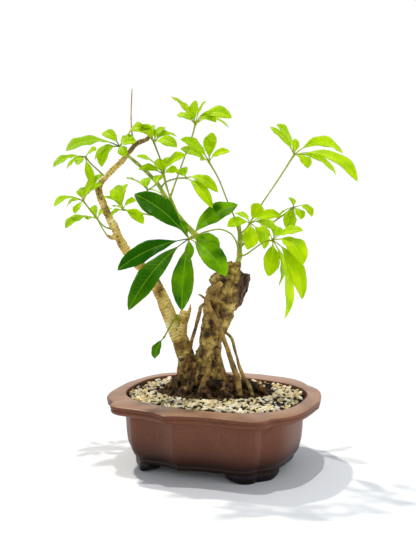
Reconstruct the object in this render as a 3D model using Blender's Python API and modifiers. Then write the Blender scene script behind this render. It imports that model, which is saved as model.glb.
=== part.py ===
"""Potted umbrella tree bonsai: a lobed stoneware pot with soil and gravel, a twin trunk with
surface and aerial roots, two green shoots and seventeen palmate leaves.

All sizes are in millimetres until an object is made. The pot's long side lies along X. The plant
is described as its best side is seen, x to the right, y away and z up from the middle of the
pot, and that side looks out past the pot's front right corner, PLANT_TURN from the pot's front.
The plant's places are measured from a point POT_SHIFT in front of the pot's middle.
"""
import math

import bmesh
import bpy
from mathutils import Matrix, Vector, noise

# Driving dimensions
MM = 0.001
GAP = 0.3
POT_LENGTH = 200.0
POT_WIDTH = 184.0
RIM_EDGE_Z = 66.0
FOOT_HEIGHT = 8.0
FOOT_INSETS = (26.0, 38.0)
FLOOR_Z = 14.5
WALL_POINTS = 44
PLANT_TURN = math.radians(22.5)
POT_SHIFT = 7.0

# The soil is level with this height at the wall and rises to a low mound round the roots.
SOIL_EDGE_Z = 61.5
MOUND_RISE = 5.0
MOUND_CENTRE = (0.0, 26.0)
MOUND_REACH = (42.0, 32.0)
HOLE_CENTRE = (-13.0, 31.0)
HOLE_RADIUS = 13.0
HOLE_FLOOR_Z = 34.0

# The gravel lies between the pot's wall and a bare oval round the roots.
BARE_CENTRE = (0.0, 24.0)
BARE_REACH = (57.0, 36.0)
GRAVEL_DEPTH = 3.0
GRAVEL_WALL = (82.0, 63.0)
GRAVEL_RELIEF = 1.3
# A fixed seed, because the relief would otherwise differ from run to run.
GRAVEL_SEED = 1795813763

DRAIN_RADIUS = 7.0
DRAIN_X = 40.0
MESH_SIDE = 24.0
MESH_THICKNESS = 0.8

LEAF_MIDRIB = 0.95
STALK_RADIUS = 0.8
HUB_RADIUS = 1.5

# The pot's plan, clockwise from the back right corner: concave cusps at the corners, and between
# them a blunt point in the middle of each side. Each run is a Bezier curve with its two handles.
PLAN = (
    ((72, 66), (92, 56), (95, 31), (100, 10), 5),
    ((100, 10), (100, -42), (96, -49), (78, -65), 5),
    ((78, -65), (75, -95), (24, -71), (-14, -92), 6),
    ((-14, -92), (-51, -71), (-75, -95), (-78, -65), 6),
    ((-78, -65), (-96, -49), (-100, -42), (-100, 10), 5),
    ((-100, 10), (-95, 31), (-92, 56), (-72, 66), 5),
    ((-72, 66), (-56, 94), (-12, 88), (14, 92), 6),
    ((14, 92), (40, 88), (54, 92), (72, 66), 6),
)
CORNERS = (0, 10, 22, 32)
FOOT_REACH = 3

# Outer profile of the pot, from its underside up: how far inside the rim's edge, and height.
OUTER_PROFILE = (
    (27.0, 8.0), (25.8, 9.0), (24.8, 11.0), (25.4, 13.0), (23.6, 13.8), (20.8, 17.5),
    (18.8, 23.0), (17.8, 31.0), (17.2, 42.0), (16.6, 56.5), (2.4, 58.0), (0.9, 59.2),
    (0.6, 61.2), (1.7, 62.2), (0.1, 63.5), (0.8, RIM_EDGE_Z),
)
# Inner profile, from the opening down: half length and half width of the smooth oval, and height.
INNER_PROFILE = (
    (86.5, 67.0, 67.6), (85.0, 65.5, 66.2), (79.0, 60.5, 54.0), (77.0, 59.0, 32.0),
    (72.0, 54.0, 18.0), (68.0, 50.0, FLOOR_Z),
)
OVAL_POWER = 2.6


def turned(point):
    """A point of the plant, turned into the pot's frame."""
    x, y, z = point[0], point[1] - POT_SHIFT, point[2]
    cos, sin = math.cos(PLANT_TURN), math.sin(PLANT_TURN)
    return Vector((x * cos - y * sin, x * sin + y * cos, z))


def unturned(x, y):
    """A place in the pot's frame, as the plant's x and y."""
    cos, sin = math.cos(PLANT_TURN), math.sin(PLANT_TURN)
    return x * cos + y * sin, POT_SHIFT - x * sin + y * cos


def smooth(points, steps):
    """A smooth run through the points, with steps spans between each two of them."""
    rows = [Vector(p) for p in points]
    rows = [rows[0] * 2 - rows[1]] + rows + [rows[-1] * 2 - rows[-2]]
    out = []
    for a, b, c, d in zip(rows, rows[1:], rows[2:], rows[3:]):
        for k in range(steps):
            t = k / steps
            out.append(0.5 * (2 * b + (c - a) * t + (2 * a - 5 * b + 4 * c - d) * t ** 2
                              + (3 * b - a - 3 * c + d) * t ** 3))
    out.append(rows[-2])
    return out


def new_object(name, mesh):
    obj = bpy.data.objects.new(name, mesh)
    bpy.context.scene.collection.objects.link(obj)
    return obj


def drop(obj):
    bpy.data.objects.remove(obj, do_unlink=True)


def loft(name, rings, closed=False):
    """A solid through rings of equally many points. A ring of one point ends it in a tip."""
    mesh = bmesh.new()
    rows = [[mesh.verts.new(Vector(p) * MM) for p in ring] for ring in rings]
    pairs = list(zip(rows, rows[1:]))
    if closed:
        pairs.append((rows[-1], rows[0]))
    for low, high in pairs:
        count = max(len(low), len(high))
        for i in range(count):
            j = (i + 1) % count
            corners = [low[i % len(low)], low[j % len(low)], high[j % len(high)], high[i % len(high)]]
            mesh.faces.new(list(dict.fromkeys(corners)))
    if not closed:
        for row in (rows[0], rows[-1]):
            if len(row) > 2:
                mesh.faces.new(row)
    bmesh.ops.triangulate(mesh, faces=mesh.faces)
    bmesh.ops.recalc_face_normals(mesh, faces=mesh.faces)
    data = bpy.data.meshes.new(name)
    mesh.to_mesh(data)
    mesh.free()
    return new_object(name, data)


def plain_mesh(obj):
    """The object's evaluated shape as a mesh object without modifiers, in place of the object."""
    bpy.context.view_layer.update()
    found = obj.evaluated_get(bpy.context.evaluated_depsgraph_get())
    data = bpy.data.meshes.new_from_object(found)
    work = bmesh.new()
    work.from_mesh(data)
    bmesh.ops.remove_doubles(work, verts=work.verts, dist=0.00001)
    bmesh.ops.triangulate(work, faces=work.faces)
    work.to_mesh(data)
    work.free()
    name = obj.name
    drop(obj)
    return new_object(name, data)


def tube(name, points, radii, resolution=1):
    """A round limb along the points with a radius at each, as a curve with a bevel."""
    curve = bpy.data.curves.new(name, "CURVE")
    curve.dimensions = "3D"
    curve.bevel_depth = MM
    curve.bevel_resolution = resolution
    curve.use_fill_caps = True
    spline = curve.splines.new("POLY")
    spline.points.add(len(points) - 1)
    for knot, point, radius in zip(spline.points, points, radii):
        knot.co = (*(Vector(point) * MM), 1.0)
        knot.radius = radius
    return plain_mesh(new_object(name, curve))


def stem(name, stations, steps=2, grow=0.0, resolution=2):
    """A limb through stations of x, y, z and radius, smoothed, and swollen by grow."""
    places = smooth([turned(s[:3]) for s in stations], steps)
    radii = [r.x + grow for r in smooth([(s[3], 0.0, 0.0) for s in stations], steps)]
    return tube(name, places, radii, resolution)


def boolean(obj, operation, others):
    """Joins or cuts the object with all the others at once, applies that and removes them."""
    group = bpy.data.collections.new("operands")
    for other in others:
        group.objects.link(other)
    step = obj.modifiers.new(operation.lower(), "BOOLEAN")
    step.operation = operation
    step.solver = "EXACT"
    step.operand_type = "COLLECTION"
    step.collection = group
    result = plain_mesh(obj)
    for other in others:
        drop(other)
    bpy.data.collections.remove(group)
    return result


def without_scraps(obj):
    """Keeps the object's biggest connected piece, where a cut has left loose crumbs beside it."""
    work = bmesh.new()
    work.from_mesh(obj.data)
    unseen, pieces = set(work.verts), []
    while unseen:
        front, piece = [unseen.pop()], []
        while front:
            vert = front.pop()
            piece.append(vert)
            near = {edge.other_vert(vert) for edge in vert.link_edges} & unseen
            unseen -= near
            front.extend(near)
        pieces.append(piece)
    pieces.sort(key=len)
    bmesh.ops.delete(work, geom=[v for piece in pieces[:-1] for v in piece], context="VERTS")
    work.to_mesh(obj.data)
    work.free()
    return obj


def outline(inset):
    """The pot's plan, drawn in by inset along both of its axes."""
    points = []
    for p, q, r, s, spans in PLAN:
        p, q, r, s = Vector(p), Vector(q), Vector(r), Vector(s)
        for k in range(spans):
            t = k / spans
            points.append(p * (1 - t) ** 3 + q * 3 * t * (1 - t) ** 2
                          + r * 3 * t ** 2 * (1 - t) + s * t ** 3)
    along, across = 1 - inset / (POT_LENGTH / 2), 1 - inset / (POT_WIDTH / 2)
    return [Vector((p.x * along, p.y * across)) for p in points]


def oval(half_length, half_width):
    """The smooth oval of the pot's inside, one point towards each point of the outline."""
    points = []
    for p in outline(0.0):
        size = (abs(p.x / half_length) ** OVAL_POWER + abs(p.y / half_width) ** OVAL_POWER)
        points.append(p / size ** (1 / OVAL_POWER))
    return points


def level(points, z):
    return [(p.x, p.y, z) for p in points]


def make_foot(first, last):
    """A bracket foot along the outline's points first to last, round one corner of the base."""
    outer, inner, count = outline(FOOT_INSETS[0]), outline(FOOT_INSETS[1]), last - first
    rings = []
    for k in range(count + 1):
        i = (first + k) % WALL_POINTS
        under = (5.0, 0.8)[k] if k < 2 else (5.0, 0.8)[count - k] if count - k < 2 else 0.0
        p, q = outer[i], inner[i]
        rings.append([(p.x, p.y, under), (p.x, p.y, FOOT_HEIGHT + 1.5),
                      (q.x, q.y, FOOT_HEIGHT + 1.5), (q.x, q.y, under)])
    return loft("foot", rings)


def make_pot():
    rings = [level(outline(inset), z) for inset, z in OUTER_PROFILE]
    rings += [level(oval(a, b), z) for a, b, z in INNER_PROFILE]
    pot = loft("pot", rings)
    feet = [make_foot(corner + WALL_POINTS - FOOT_REACH, corner + WALL_POINTS + FOOT_REACH)
            for corner in CORNERS]
    pot = boolean(pot, "UNION", feet)
    drills = []
    for side in (-1, 1):
        bpy.ops.mesh.primitive_cylinder_add(
            vertices=20, radius=DRAIN_RADIUS * MM, depth=20 * MM,
            location=(side * DRAIN_X * MM, 0, 11 * MM))
        drills.append(bpy.context.object)
    return boolean(pot, "DIFFERENCE", drills)


def make_drain_mesh(name, x):
    """A square of plastic mesh that lies over a drain hole."""
    grid = bmesh.new()
    cells = 5
    bmesh.ops.create_grid(grid, x_segments=cells, y_segments=cells, size=MESH_SIDE / 2 * MM)
    cell = MESH_SIDE * MM / cells
    holes = []
    for face in grid.faces:
        centre = face.calc_center_median()
        column = round((centre.x + MESH_SIDE / 2 * MM) / cell - 0.5)
        row = round((centre.y + MESH_SIDE / 2 * MM) / cell - 0.5)
        if column % 2 and row % 2:
            holes.append(face)
    bmesh.ops.delete(grid, geom=holes, context="FACES")
    data = bpy.data.meshes.new(name)
    grid.to_mesh(data)
    grid.free()
    obj = new_object(name, data)
    obj.location = (x * MM, 0, (FLOOR_Z + GAP) * MM)
    wall = obj.modifiers.new("thickness", "SOLIDIFY")
    wall.thickness = MESH_THICKNESS * MM
    wall.offset = 1.0
    return obj


def ground(x, y):
    """Height of the soil at a place in the pot's frame."""
    px, py = unturned(x, y)
    dx = (px - MOUND_CENTRE[0]) / MOUND_REACH[0]
    dy = (py - MOUND_CENTRE[1]) / MOUND_REACH[1]
    return SOIL_EDGE_Z + MOUND_RISE * math.exp(-dx * dx - dy * dy)


def ring_between(outer, inner, share, height):
    """A ring part of the way from outer to inner, laid on the ground and lifted by height."""
    places = [a.lerp(b, share) for a, b in zip(outer, inner)]
    return [(p.x, p.y, ground(p.x, p.y) + height) for p in places]


def circle(centre, radius_x, radius_y, pattern):
    """An oval of the plant's frame, one point towards each point of the pattern round it."""
    points = []
    for p in pattern:
        px, py = unturned(*p)
        angle = math.atan2((py - centre[1]) / radius_y, (px - centre[0]) / radius_x)
        place = (centre[0] + radius_x * math.cos(angle), centre[1] + radius_y * math.sin(angle))
        points.append(turned((*place, 0.0)).to_2d())
    return points


def soil_shape(name, lift, hole_radius):
    """The soil, or the same shape lifted by a clearance, which trims the roots."""
    wall = [oval(a - GAP - 0.05, b - GAP - 0.05) for a, b, z in INNER_PROFILE]
    floor_z = FLOOR_Z + GAP + MESH_THICKNESS + GAP
    rings = [level(wall[5], floor_z), level(wall[4], 18.0), level(wall[3], 32.0)]
    rings.append(level(wall[2], 54.0))
    hole = circle(HOLE_CENTRE, hole_radius, hole_radius, wall[1])
    rings += [ring_between(wall[2], hole, share, lift) for share in (0.0, 0.45, 0.75, 1.0)]
    rings.append(level(hole, HOLE_FLOOR_Z + lift))
    return loft(name, rings)


def make_gravel():
    """Coarse relief of grains between the wall and the bare soil round the roots."""
    noise.seed_set(GRAVEL_SEED)
    wall = oval(*GRAVEL_WALL)
    bare = circle(BARE_CENTRE, *BARE_REACH, wall)
    spans = 7
    rings = []
    for k in range(spans + 1):
        ring = ring_between(wall, bare, k / spans, 2 * GAP + GRAVEL_DEPTH)
        if 0 < k < spans:
            ring = [rough_place(p, k) for p in ring]
        elif k == spans:
            ring = [(x, y, z - GRAVEL_DEPTH * 0.5) for x, y, z in ring]
        rings.append(ring)
    for share in (1.0, 0.66, 0.33, 0.0):
        rings.append(ring_between(wall, bare, share, 2 * GAP))
    return loft("gravel", rings, closed=True)


def rough_place(point, salt):
    """The point moved as far as one grain of gravel may stand out or aside."""
    x, y, z = point
    shift = noise.noise_vector(Vector((x * 0.9, y * 0.9, salt * 7.3)))
    return (x + shift.x * 1.2, y + shift.y * 1.2, z + shift.z * 2 * GRAVEL_RELIEF)


# The thick old trunk: x, y, z and radius up its middle line.
OLD_TRUNK = (
    (-9, 31, 48, 16), (-9, 31, 60, 16.5), (-9, 30, 72, 14.5), (-9, 30, 84, 13.6),
    (-8.5, 30, 94, 12.4), (-6.5, 30, 104, 11.2), (-5.4, 30, 114, 10.8), (-2.7, 30, 124, 11.6),
    (0.2, 30, 134, 13.6), (2.8, 30, 144, 15.4), (6.4, 30, 153, 17.2), (10.6, 30, 162, 17.6),
    (12.5, 29, 171, 17), (14, 28, 178, 13), (14.5, 28, 184, 7),
)
# Knobs and dead wood at the old trunk's top, and a sprout low on its left.
KNOBS = (
    ((8, 26, 163, 8), (2, 25, 170, 7.4), (-3.5, 24, 176, 5.4)),
    ((14, 28, 176, 7), (14, 28, 184, 6), (14, 28, 191, 4.4)),
    ((22, 30, 150, 6.5), (27, 30, 164, 7.2), (29.6, 30, 172, 6.8), (29.8, 30, 179, 4)),
    ((21, 27, 172, 4), (23.5, 26, 181, 2.6), (24.5, 26, 189, 1.6)),
    ((-6, 20, 152, 1.4), (-11, 14, 157, 1.1), (-17, 10, 162, 0.9)),
)
# The slender trunk that leans to the left, its stub, and the dead stalk on it.
LEFT_TRUNK = (
    (-27, 36, 58, 11.5), (-28.5, 36, 76, 10), (-28.5, 36, 90, 9), (-31.4, 36, 102, 8.6),
    (-35, 36, 112, 8.2), (-39.6, 37, 122, 7.6), (-44, 37, 132, 6.8), (-47.5, 37, 142, 6.6),
    (-51.7, 38, 152, 6.3), (-56, 38, 161, 6), (-61.2, 38, 171, 5.8), (-68.5, 38, 180, 5.4),
    (-77.5, 38, 189, 5), (-87, 39, 200, 4.6), (-92.8, 39, 210, 4.3), (-97, 39, 220, 4.1),
    (-102.2, 39, 230, 3.9), (-108, 40, 243, 3.6), (-112, 40, 254, 3.4), (-112, 40, 262, 3.3),
    (-106, 40, 270, 3.1), (-97, 40, 279, 2.8), (-87, 40, 289, 2.5), (-79, 40, 299, 2.3),
    (-74, 40, 303, 2.4), (-65, 40, 307, 2.0), (-60, 40, 316, 1.5),
)
STUB = ((-36, 35, 110, 6.2), (-34.2, 34.5, 121, 6), (-32.2, 34, 131, 5.2), (-29.6, 34, 141, 5))
DEAD_STALK = ((-79, 40, 298, 1.2), (-81, 41, 324, 0.9), (-80, 42, 354, 0.7))
# Aerial roots that run down from the old trunk and into the soil.
AERIAL_ROOTS = (
    ((5, 14, 172, 2.6), (-2.3, 10, 168, 2.4), (-8, 8.5, 161, 2.4), (-9.4, 9, 155, 2.4),
     (-6, 9, 148, 2.3), (-1.9, 10, 140, 2.3), (2.9, 12, 129, 2.3), (6.3, 12.5, 120, 2.3),
     (10.1, 12, 110, 2.4), (13, 11, 101, 2.5), (16, 10, 92, 2.7), (19.7, 9, 82, 2.9),
     (21.6, 8, 71, 3), (23, 7, 58, 3)),
    ((-8, 17, 152, 2.2), (-14.6, 14.5, 149, 2), (-16, 15, 143, 1.9), (-18, 17, 135, 1.8),
     (-20.5, 20, 125, 1.8), (-23.4, 25, 115, 1.9), (-26, 31, 102, 2.4)),
    ((5, 22, 125, 1.8), (12, 17, 121, 1.6), (15.4, 16, 116, 1.6), (17.3, 16, 108, 1.6),
     (19.7, 15, 100, 1.6), (22, 14, 91, 1.7), (26, 12, 82, 1.8), (32, 8, 72, 2),
     (36, 4, 58, 2)),
    ((3, 22, 108, 2.4), (9, 19, 94, 2.2), (12, 16, 80, 2.4), (12, 12, 68, 2.8), (11, 9, 56, 3)),
    ((-6, 18, 96, 2.6), (-9, 13, 84, 2.6), (-14, 9, 72, 2.8), (-19, 5, 58, 3)),
)
# Thick roots that lie over the mound: x, y, z and radius from the trunks outwards.
SURFACE_ROOTS = (
    ((-6, 22, 74, 6), (6, 16, 71, 4.6), (18, 13, 69, 4.0), (27, 12, 63, 3.0)),
    ((0, 34, 76, 6), (16, 27, 73, 5.2), (32, 22, 69, 4.6), (46, 14, 63, 3.6), (53, 9, 56, 2.6)),
    ((-10, 20, 74, 6), (-12, 8, 70, 4.4), (-8, -2, 65, 3.2), (-5, -8, 58, 2.6)),
    ((-18, 24, 76, 6), (-28, 12, 70, 4.0), (-37, 6, 65, 3.0), (-44, 2, 57, 2.4)),
    ((-30, 34, 78, 6), (-43, 30, 70, 4.0), (-50, 26, 55, 2.6)),
    ((-30, 40, 76, 6), (-38, 42, 69, 4.0), (-42, 43, 55, 2.6)),
    ((-10, 40, 74, 7), (-11, 47, 69, 4.6), (-9, 52, 56, 2.8)),
    ((4, 38, 74, 6), (17, 43, 70, 4.4), (28, 46, 56, 2.8)),
    ((-4, 22, 72, 5), (4, 6, 70, 3.2), (14, -2, 65, 2.6), (20, -7, 58, 2.2)),
)
# Flat ends of the wood that the two green shoots grow from: foot, and the shoot's first point.
LEFT_COLLAR = ((13, 24, 178), (4, 19, 192))
RIGHT_COLLAR = ((18, 27, 176), (21, 26, 191))
COLLAR_RADIUS = 4.2
LEFT_SHOOT = (
    (-8, 13.5, 206, 3.0), (-19, 13, 217, 2.9), (-29, 14, 227, 2.9), (-38, 16, 238, 2.8),
    (-48, 20, 253, 2.5), (-57, 23, 267, 2.3), (-71, 22, 281, 2.0), (-86, 20, 294, 1.6),
)
RIGHT_SHOOT = ((22, 25, 203, 2.5), (22.5, 24, 214, 2.3), (21, 23, 226, 1.8))


def limb(name, stations, sides, lumps):
    """A gnarled limb: rings across the middle line, swollen and hollowed by noise."""
    places = smooth([turned(s[:3]) for s in stations], 1)
    rings = []
    for i, (place, station) in enumerate(zip(places, stations)):
        ahead = (places[min(i + 1, len(places) - 1)] - places[max(i - 1, 0)]).normalized()
        side = ahead.cross(Vector((0, 1, 0))).normalized()
        front = side.cross(ahead)
        ring = []
        for k in range(sides):
            angle = 2 * math.pi * k / sides
            spoke = side * math.cos(angle) + front * math.sin(angle)
            ring.append(place + spoke * station[3] * (1 + lumps * rough(place, spoke)))
        rings.append(ring)
    return loft(name, rings)


def rough(place, spoke):
    """From -1 to 1, the same on every run: bumps about 12 mm apart, drawn out up the trunk."""
    at = place + spoke * 12
    return noise.noise(Vector((at.x * 0.09, at.y * 0.09, at.z * 0.045)))


def collar(name, ends, extra=0.0):
    foot, top = turned(ends[0]), turned(ends[1])
    return tube(name, [foot, top + (top - foot).normalized() * extra], [COLLAR_RADIUS] * 2, 2)


def make_trunk():
    trunk = limb("trunk", OLD_TRUNK, 16, 0.32)
    joined = [stem("left", LEFT_TRUNK, 1, resolution=1), stem("stub", STUB, 1)]
    joined += [stem("dead", DEAD_STALK, 1, resolution=0)]
    joined += [stem("knob", route, 1, resolution=1) for route in KNOBS]
    joined += [stem("aerial", route, 1, resolution=1) for route in AERIAL_ROOTS]
    joined += [stem("surface", route, 1, resolution=1) for route in SURFACE_ROOTS]
    joined += [collar("collar", LEFT_COLLAR), collar("collar", RIGHT_COLLAR)]
    trunk = boolean(trunk, "UNION", joined)
    trunk = boolean(trunk, "DIFFERENCE", [soil_shape("trim", GAP, HOLE_RADIUS - GAP)])
    return without_scraps(trunk)


def shoot_stations(ends, stations, clear):
    """The shoot's stations, with its first point clear of the wood by the given gap."""
    foot, top = Vector(ends[0]), Vector(ends[1])
    along = (top - foot).normalized()
    first = stations[0][3]
    return ((*(top + along * clear), first), (*(top + along * 5), first), *stations)


# Each leaf: its stem, the stalk's route from the stem's middle, the hub where the leaflets meet,
# and each leaflet's tip as seen from the hub, with its width and the height of its arch.
LEAVES = {
    "leaf_top": ("left_shoot", ((-45, 19, 248), (-38, 24, 268), (-30, 27, 290), (-23, 29, 309)),
                 (-20, 30, 320), (
        (-22, -19, 26, 13, 5), (-18, 13, 9, 8, 4), (0, 12, 23, 10, 2), (10, -12, 22, 7, 2),
        (20, -18, 2, 9, 8), (34, -21, 6, 14, 8), (32, 19, -3, 12, 8))),
    "leaf_middle": ("right_shoot", ((21, 23, 221), (16, 18, 236), (10, 14, 250), (2, 10, 270)),
                    (-7, 8, 286), (
        (-26, -18, 21, 13, 4), (-27, 17, 12, 9, 3), (3, 16, 27, 12, 2), (19, -15, 10, 8, 4),
        (-8, -14, 2, 6, 2))),
    "leaf_right_high": ("right_shoot", ((22.5, 24, 210), (32, 27, 228), (44, 28, 247), (58, 27, 268)),
                        (73, 25, 292), (
        (-18, -17, 28, 14, 4), (-22, 19, 26, 10, 3), (2, 10, 15, 7, 1), (49, 23, 0, 15, 12),
        (55, -37, -23, 16, 12), (42, 18, -20, 11, 7), (11, -18, -12, 12, 4))),
    "leaf_top_left": ("left_shoot", ((-41, 17, 243), (-44.5, 12, 256), (-48, 13, 270), (-51, 14, 284)),
                      (-58, 10, 304), (
        (-26, 27, 5, 12, 12), (-12, -19, 17, 13, 5), (-13, -20, 10, 11, 6), (22, -20, -4, 11, 5),
        (21, 18, 5, 11, 5), (10, 17, 14, 9, 3), (-4, 19, 15, 10, 4))),
    "leaf_shoot_end": ("left_shoot", ((-83, 20.5, 291), (-86, 17, 297)), (-90, 16, 300), (
        (-46, -33, -3, 17, 8), (-18, 15, 12, 10, 5), (-15, -22, -18, 12, 7), (-25, 11, -13, 9, 5),
        (6, -14, -9, 9, 3), (16, -12, 4, 10, 3), (12, 14, 10, 9, 3))),
    "leaf_far_left": ("trunk", ((-106, 40, 270), (-114, 45, 277), (-121, 49, 283)), (-126, 50, 289), (
        (-28, -21, -9, 11, 5), (-20, 12, -12, 9, 3), (-5, -18, -7, 9, 2), (12, -12, 7, 9, 2),
        (9, -14, -25, 8, 2))),
    "leaf_left": ("trunk", ((-97, 39, 220), (-107, 36, 223), (-116, 35, 233)), (-127, 34, 248), (
        (-25, -21, -4, 9, 6), (-18, 14, -7, 7, 4), (-2, 13, 12, 10, 2), (10, -13, 11, 8, 2),
        (-6, -16, -11, 8, 2), (18, 12, 25, 12, 4), (20, -15, 17, 9, 3))),
    "leaf_left_low": ("trunk", ((-93.5, 39, 211), (-103, 45, 211), (-110, 50, 219)), (-116, 55, 229), (
        (-28, -25, -7, 13, 6), (-8, -14, 0, 12, 2), (14, 14, 9, 10, 3), (-5, 12, 12, 8, 2))),
    "leaf_left_front": ("left_shoot", ((-30, 14, 228), (-48, 8, 234), (-67, 6, 238)), (-87, 6.4, 242), (
        (-6, 16, 22, 15, 3), (6, -15, 24, 12, 4), (-16, -17, 12, 9, 4), (-7, -16, 4, 10, 2),
        (13, -12, 9, 8, 3), (20, -15, -12, 10, 4), (-13, 10, -8, 7, 2))),
    "leaf_centre": ("left_shoot", ((-35, 15, 234), (-40, 6, 248), (-46, 1, 262)), (-49, -1, 275), (
        (-23, -22, 17, 10, 5), (-24, 17, 4, 8, 4), (-6, 7, 14, 9, 2), (8, 20, 15, 11, 3),
        (21, -20, 18, 12, 5), (14, -11, 3, 8, 3), (-6, -16, -7, 9, 2))),
    "leaf_centre_right": ("left_shoot", ((-53, 22, 261), (-47, 19, 267), (-37, 4, 271)), (-28, -4, 272), (
        (29, -21, -12, 10, 7), (24, -25, -26, 10, 7), (-6, 15, 8, 11, 1))),
    "leaf_inner": ("left_shoot", ((-56, 23, 265), (-61, 33, 261)), (-66, 42, 258), (
        (-19, -16, 12, 9, 3), (-1, 13, 11, 12, 2), (17, 15, -9, 9, 3))),
    "leaf_front": ("right_shoot", ((21.8, 25.2, 200), (20, 13, 206), (18, 2, 213), (13, -8, 221),
                                   (3, -17, 226), (-9, -26, 225), (-18, -30, 222)), (-25, -32, 219), (
        (-50, 17, 39, 22, 5), (-65, 2, -29, 19, 6), (-53, -31, -60, 20, 8), (-6, -32, -60, 19, 6),
        (33, -35, -29, 19, 7), (27, -6, -10, 16, 5), (44, 10, 30, 18, 5), (1, -13, -17, 8, 2),
        (-9, 14, 15, 8, 2))),
    "leaf_right": ("right_shoot", ((22.2, 24, 217), (27, 19, 222)), (32, 17, 228), (
        (-22, -10, -2, 11, 4), (8, -14, 20, 12, 3), (30, 12, 6, 11, 5), (-15, 17, 8, 8, 3),
        (-4, -24, -22, 15, 4), (13, -2, -24, 14, 4), (21, -18, -4, 12, 5))),
    "leaf_right_hanging": ("right_shoot", ((21.2, 25.6, 195.5), (28, 15, 199), (36, 7, 206),
                                           (44, 3, 212)), (52, 1, 214), (
        (-5, -22, -31, 15, 4), (7, 15, -46, 11, 6), (25, -36, -50, 16, 10), (13, 13, -77, 14, 9),
        (26, -30, -19, 19, 10), (27, -14, 10, 12, 4), (6, 17, 11, 11, 3), (-14, -16, 12, 10, 3))),
    "leaf_right_small": ("right_shoot", ((22.3, 24.7, 205), (42, 31, 219), (60, 31, 232)), (73, 28, 242), (
        (-3, 11, 9, 7, 2), (16, -20, -7, 9, 6), (-8, -14, -18, 11, 3), (-15, 14, -14, 9, 4),
        (-1, 15, -21, 9, 3), (6, -16, -10, 10, 3))),
    "leaf_low": ("stub", ((-35, 34.7, 116), (-37, 27, 138), (-40, 21, 136), (-46, 17, 126)),
                 (-50, 16, 119), ((-9, -4, -20, 11, 2),)),
}
# Along a leaflet from the hub to the tip: the place, and the half width as a share of the full.
BLADE = ((0.0, 0.0), (0.13, 0.0), (0.30, 0.62), (0.52, 1.0), (0.75, 0.86), (0.92, 0.42))
FOLD = 0.14
PLANT_MIDDLE = Vector((0.0, 28.0, 0.0))
FACE_TILT = 0.75


def rise_of(hub, along):
    """The way a leaflet arches: up and outwards, square to the leaflet."""
    out = Vector((hub.x - PLANT_MIDDLE.x, hub.y - PLANT_MIDDLE.y, 0.0)).normalized()
    rise = Vector((0, 0, 1)) + out * 0.45
    return (rise - along * rise.dot(along)).normalized()


def blade_face(rise, along):
    """The way a leaflet's upper face looks: as it arches, but tilted to the plant's best side."""
    face = rise + Vector((0, -FACE_TILT, 0))
    return (face - along * face.dot(along)).normalized()


def leaflet(hub, tip, width, arch):
    """One leaflet: a thin stalk that widens to a folded, arched blade with a pointed tip."""
    hub, tip = Vector(hub), Vector(tip)
    along = (tip - hub).normalized()
    rise = rise_of(hub, along)
    knee = (hub + tip) / 2 + rise * arch * 2
    up = blade_face(rise, along)
    side = along.cross(up)
    rings = []
    for t, share in BLADE:
        middle = hub * (1 - t) ** 2 + knee * 2 * t * (1 - t) + tip * t ** 2
        half = max(width / 2 * share, 0.6)
        thick = LEAF_MIDRIB / 2 + 0.15 * (share == 0.0)
        edge = up * half * FOLD
        rings.append([turned(p) for p in (middle - side * half + edge, middle - up * thick,
                                          middle + side * half + edge, middle + up * thick)])
    rings.append([turned(tip)])
    return loft("leaflet", rings)


def make_leaf(name, route, hub, tips, trimmer):
    stalk = [turned(p) for p in smooth([*route, hub], 2)]
    leaf = tube(name, stalk, [STALK_RADIUS] * len(stalk), 0)
    bpy.ops.mesh.primitive_ico_sphere_add(subdivisions=1, radius=HUB_RADIUS * MM,
                                          location=turned(hub) * MM)
    pieces = [bpy.context.object]
    for dx, dy, dz, width, arch in tips:
        pieces.append(leaflet(hub, (hub[0] + dx, hub[1] + dy, hub[2] + dz), width, arch))
    leaf = boolean(leaf, "UNION", pieces)
    leaf = boolean(leaf, "DIFFERENCE", [trimmer])
    leaf.name = name
    return leaf


def trimmer_for(stem_name):
    """The stem that a leaf's stalk meets, swollen by the gap between them."""
    if stem_name == "left_shoot":
        return stem("trim", shoot_stations(LEFT_COLLAR, LEFT_SHOOT, 1.0), 2, GAP)
    if stem_name == "right_shoot":
        return stem("trim", shoot_stations(RIGHT_COLLAR, RIGHT_SHOOT, 1.0), 2, GAP)
    if stem_name == "stub":
        return stem("trim", STUB, 1, GAP)
    return stem("trim", LEFT_TRUNK, 1, GAP)


def paint(obj, name, colour, roughness):
    material = bpy.data.materials.get(name) or bpy.data.materials.new(name)
    material.use_nodes = True
    shader = material.node_tree.nodes["Principled BSDF"]
    shader.inputs["Base Color"].default_value = (*colour, 1.0)
    shader.inputs["Roughness"].default_value = roughness
    obj.data.materials.clear()
    obj.data.materials.append(material)


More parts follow.
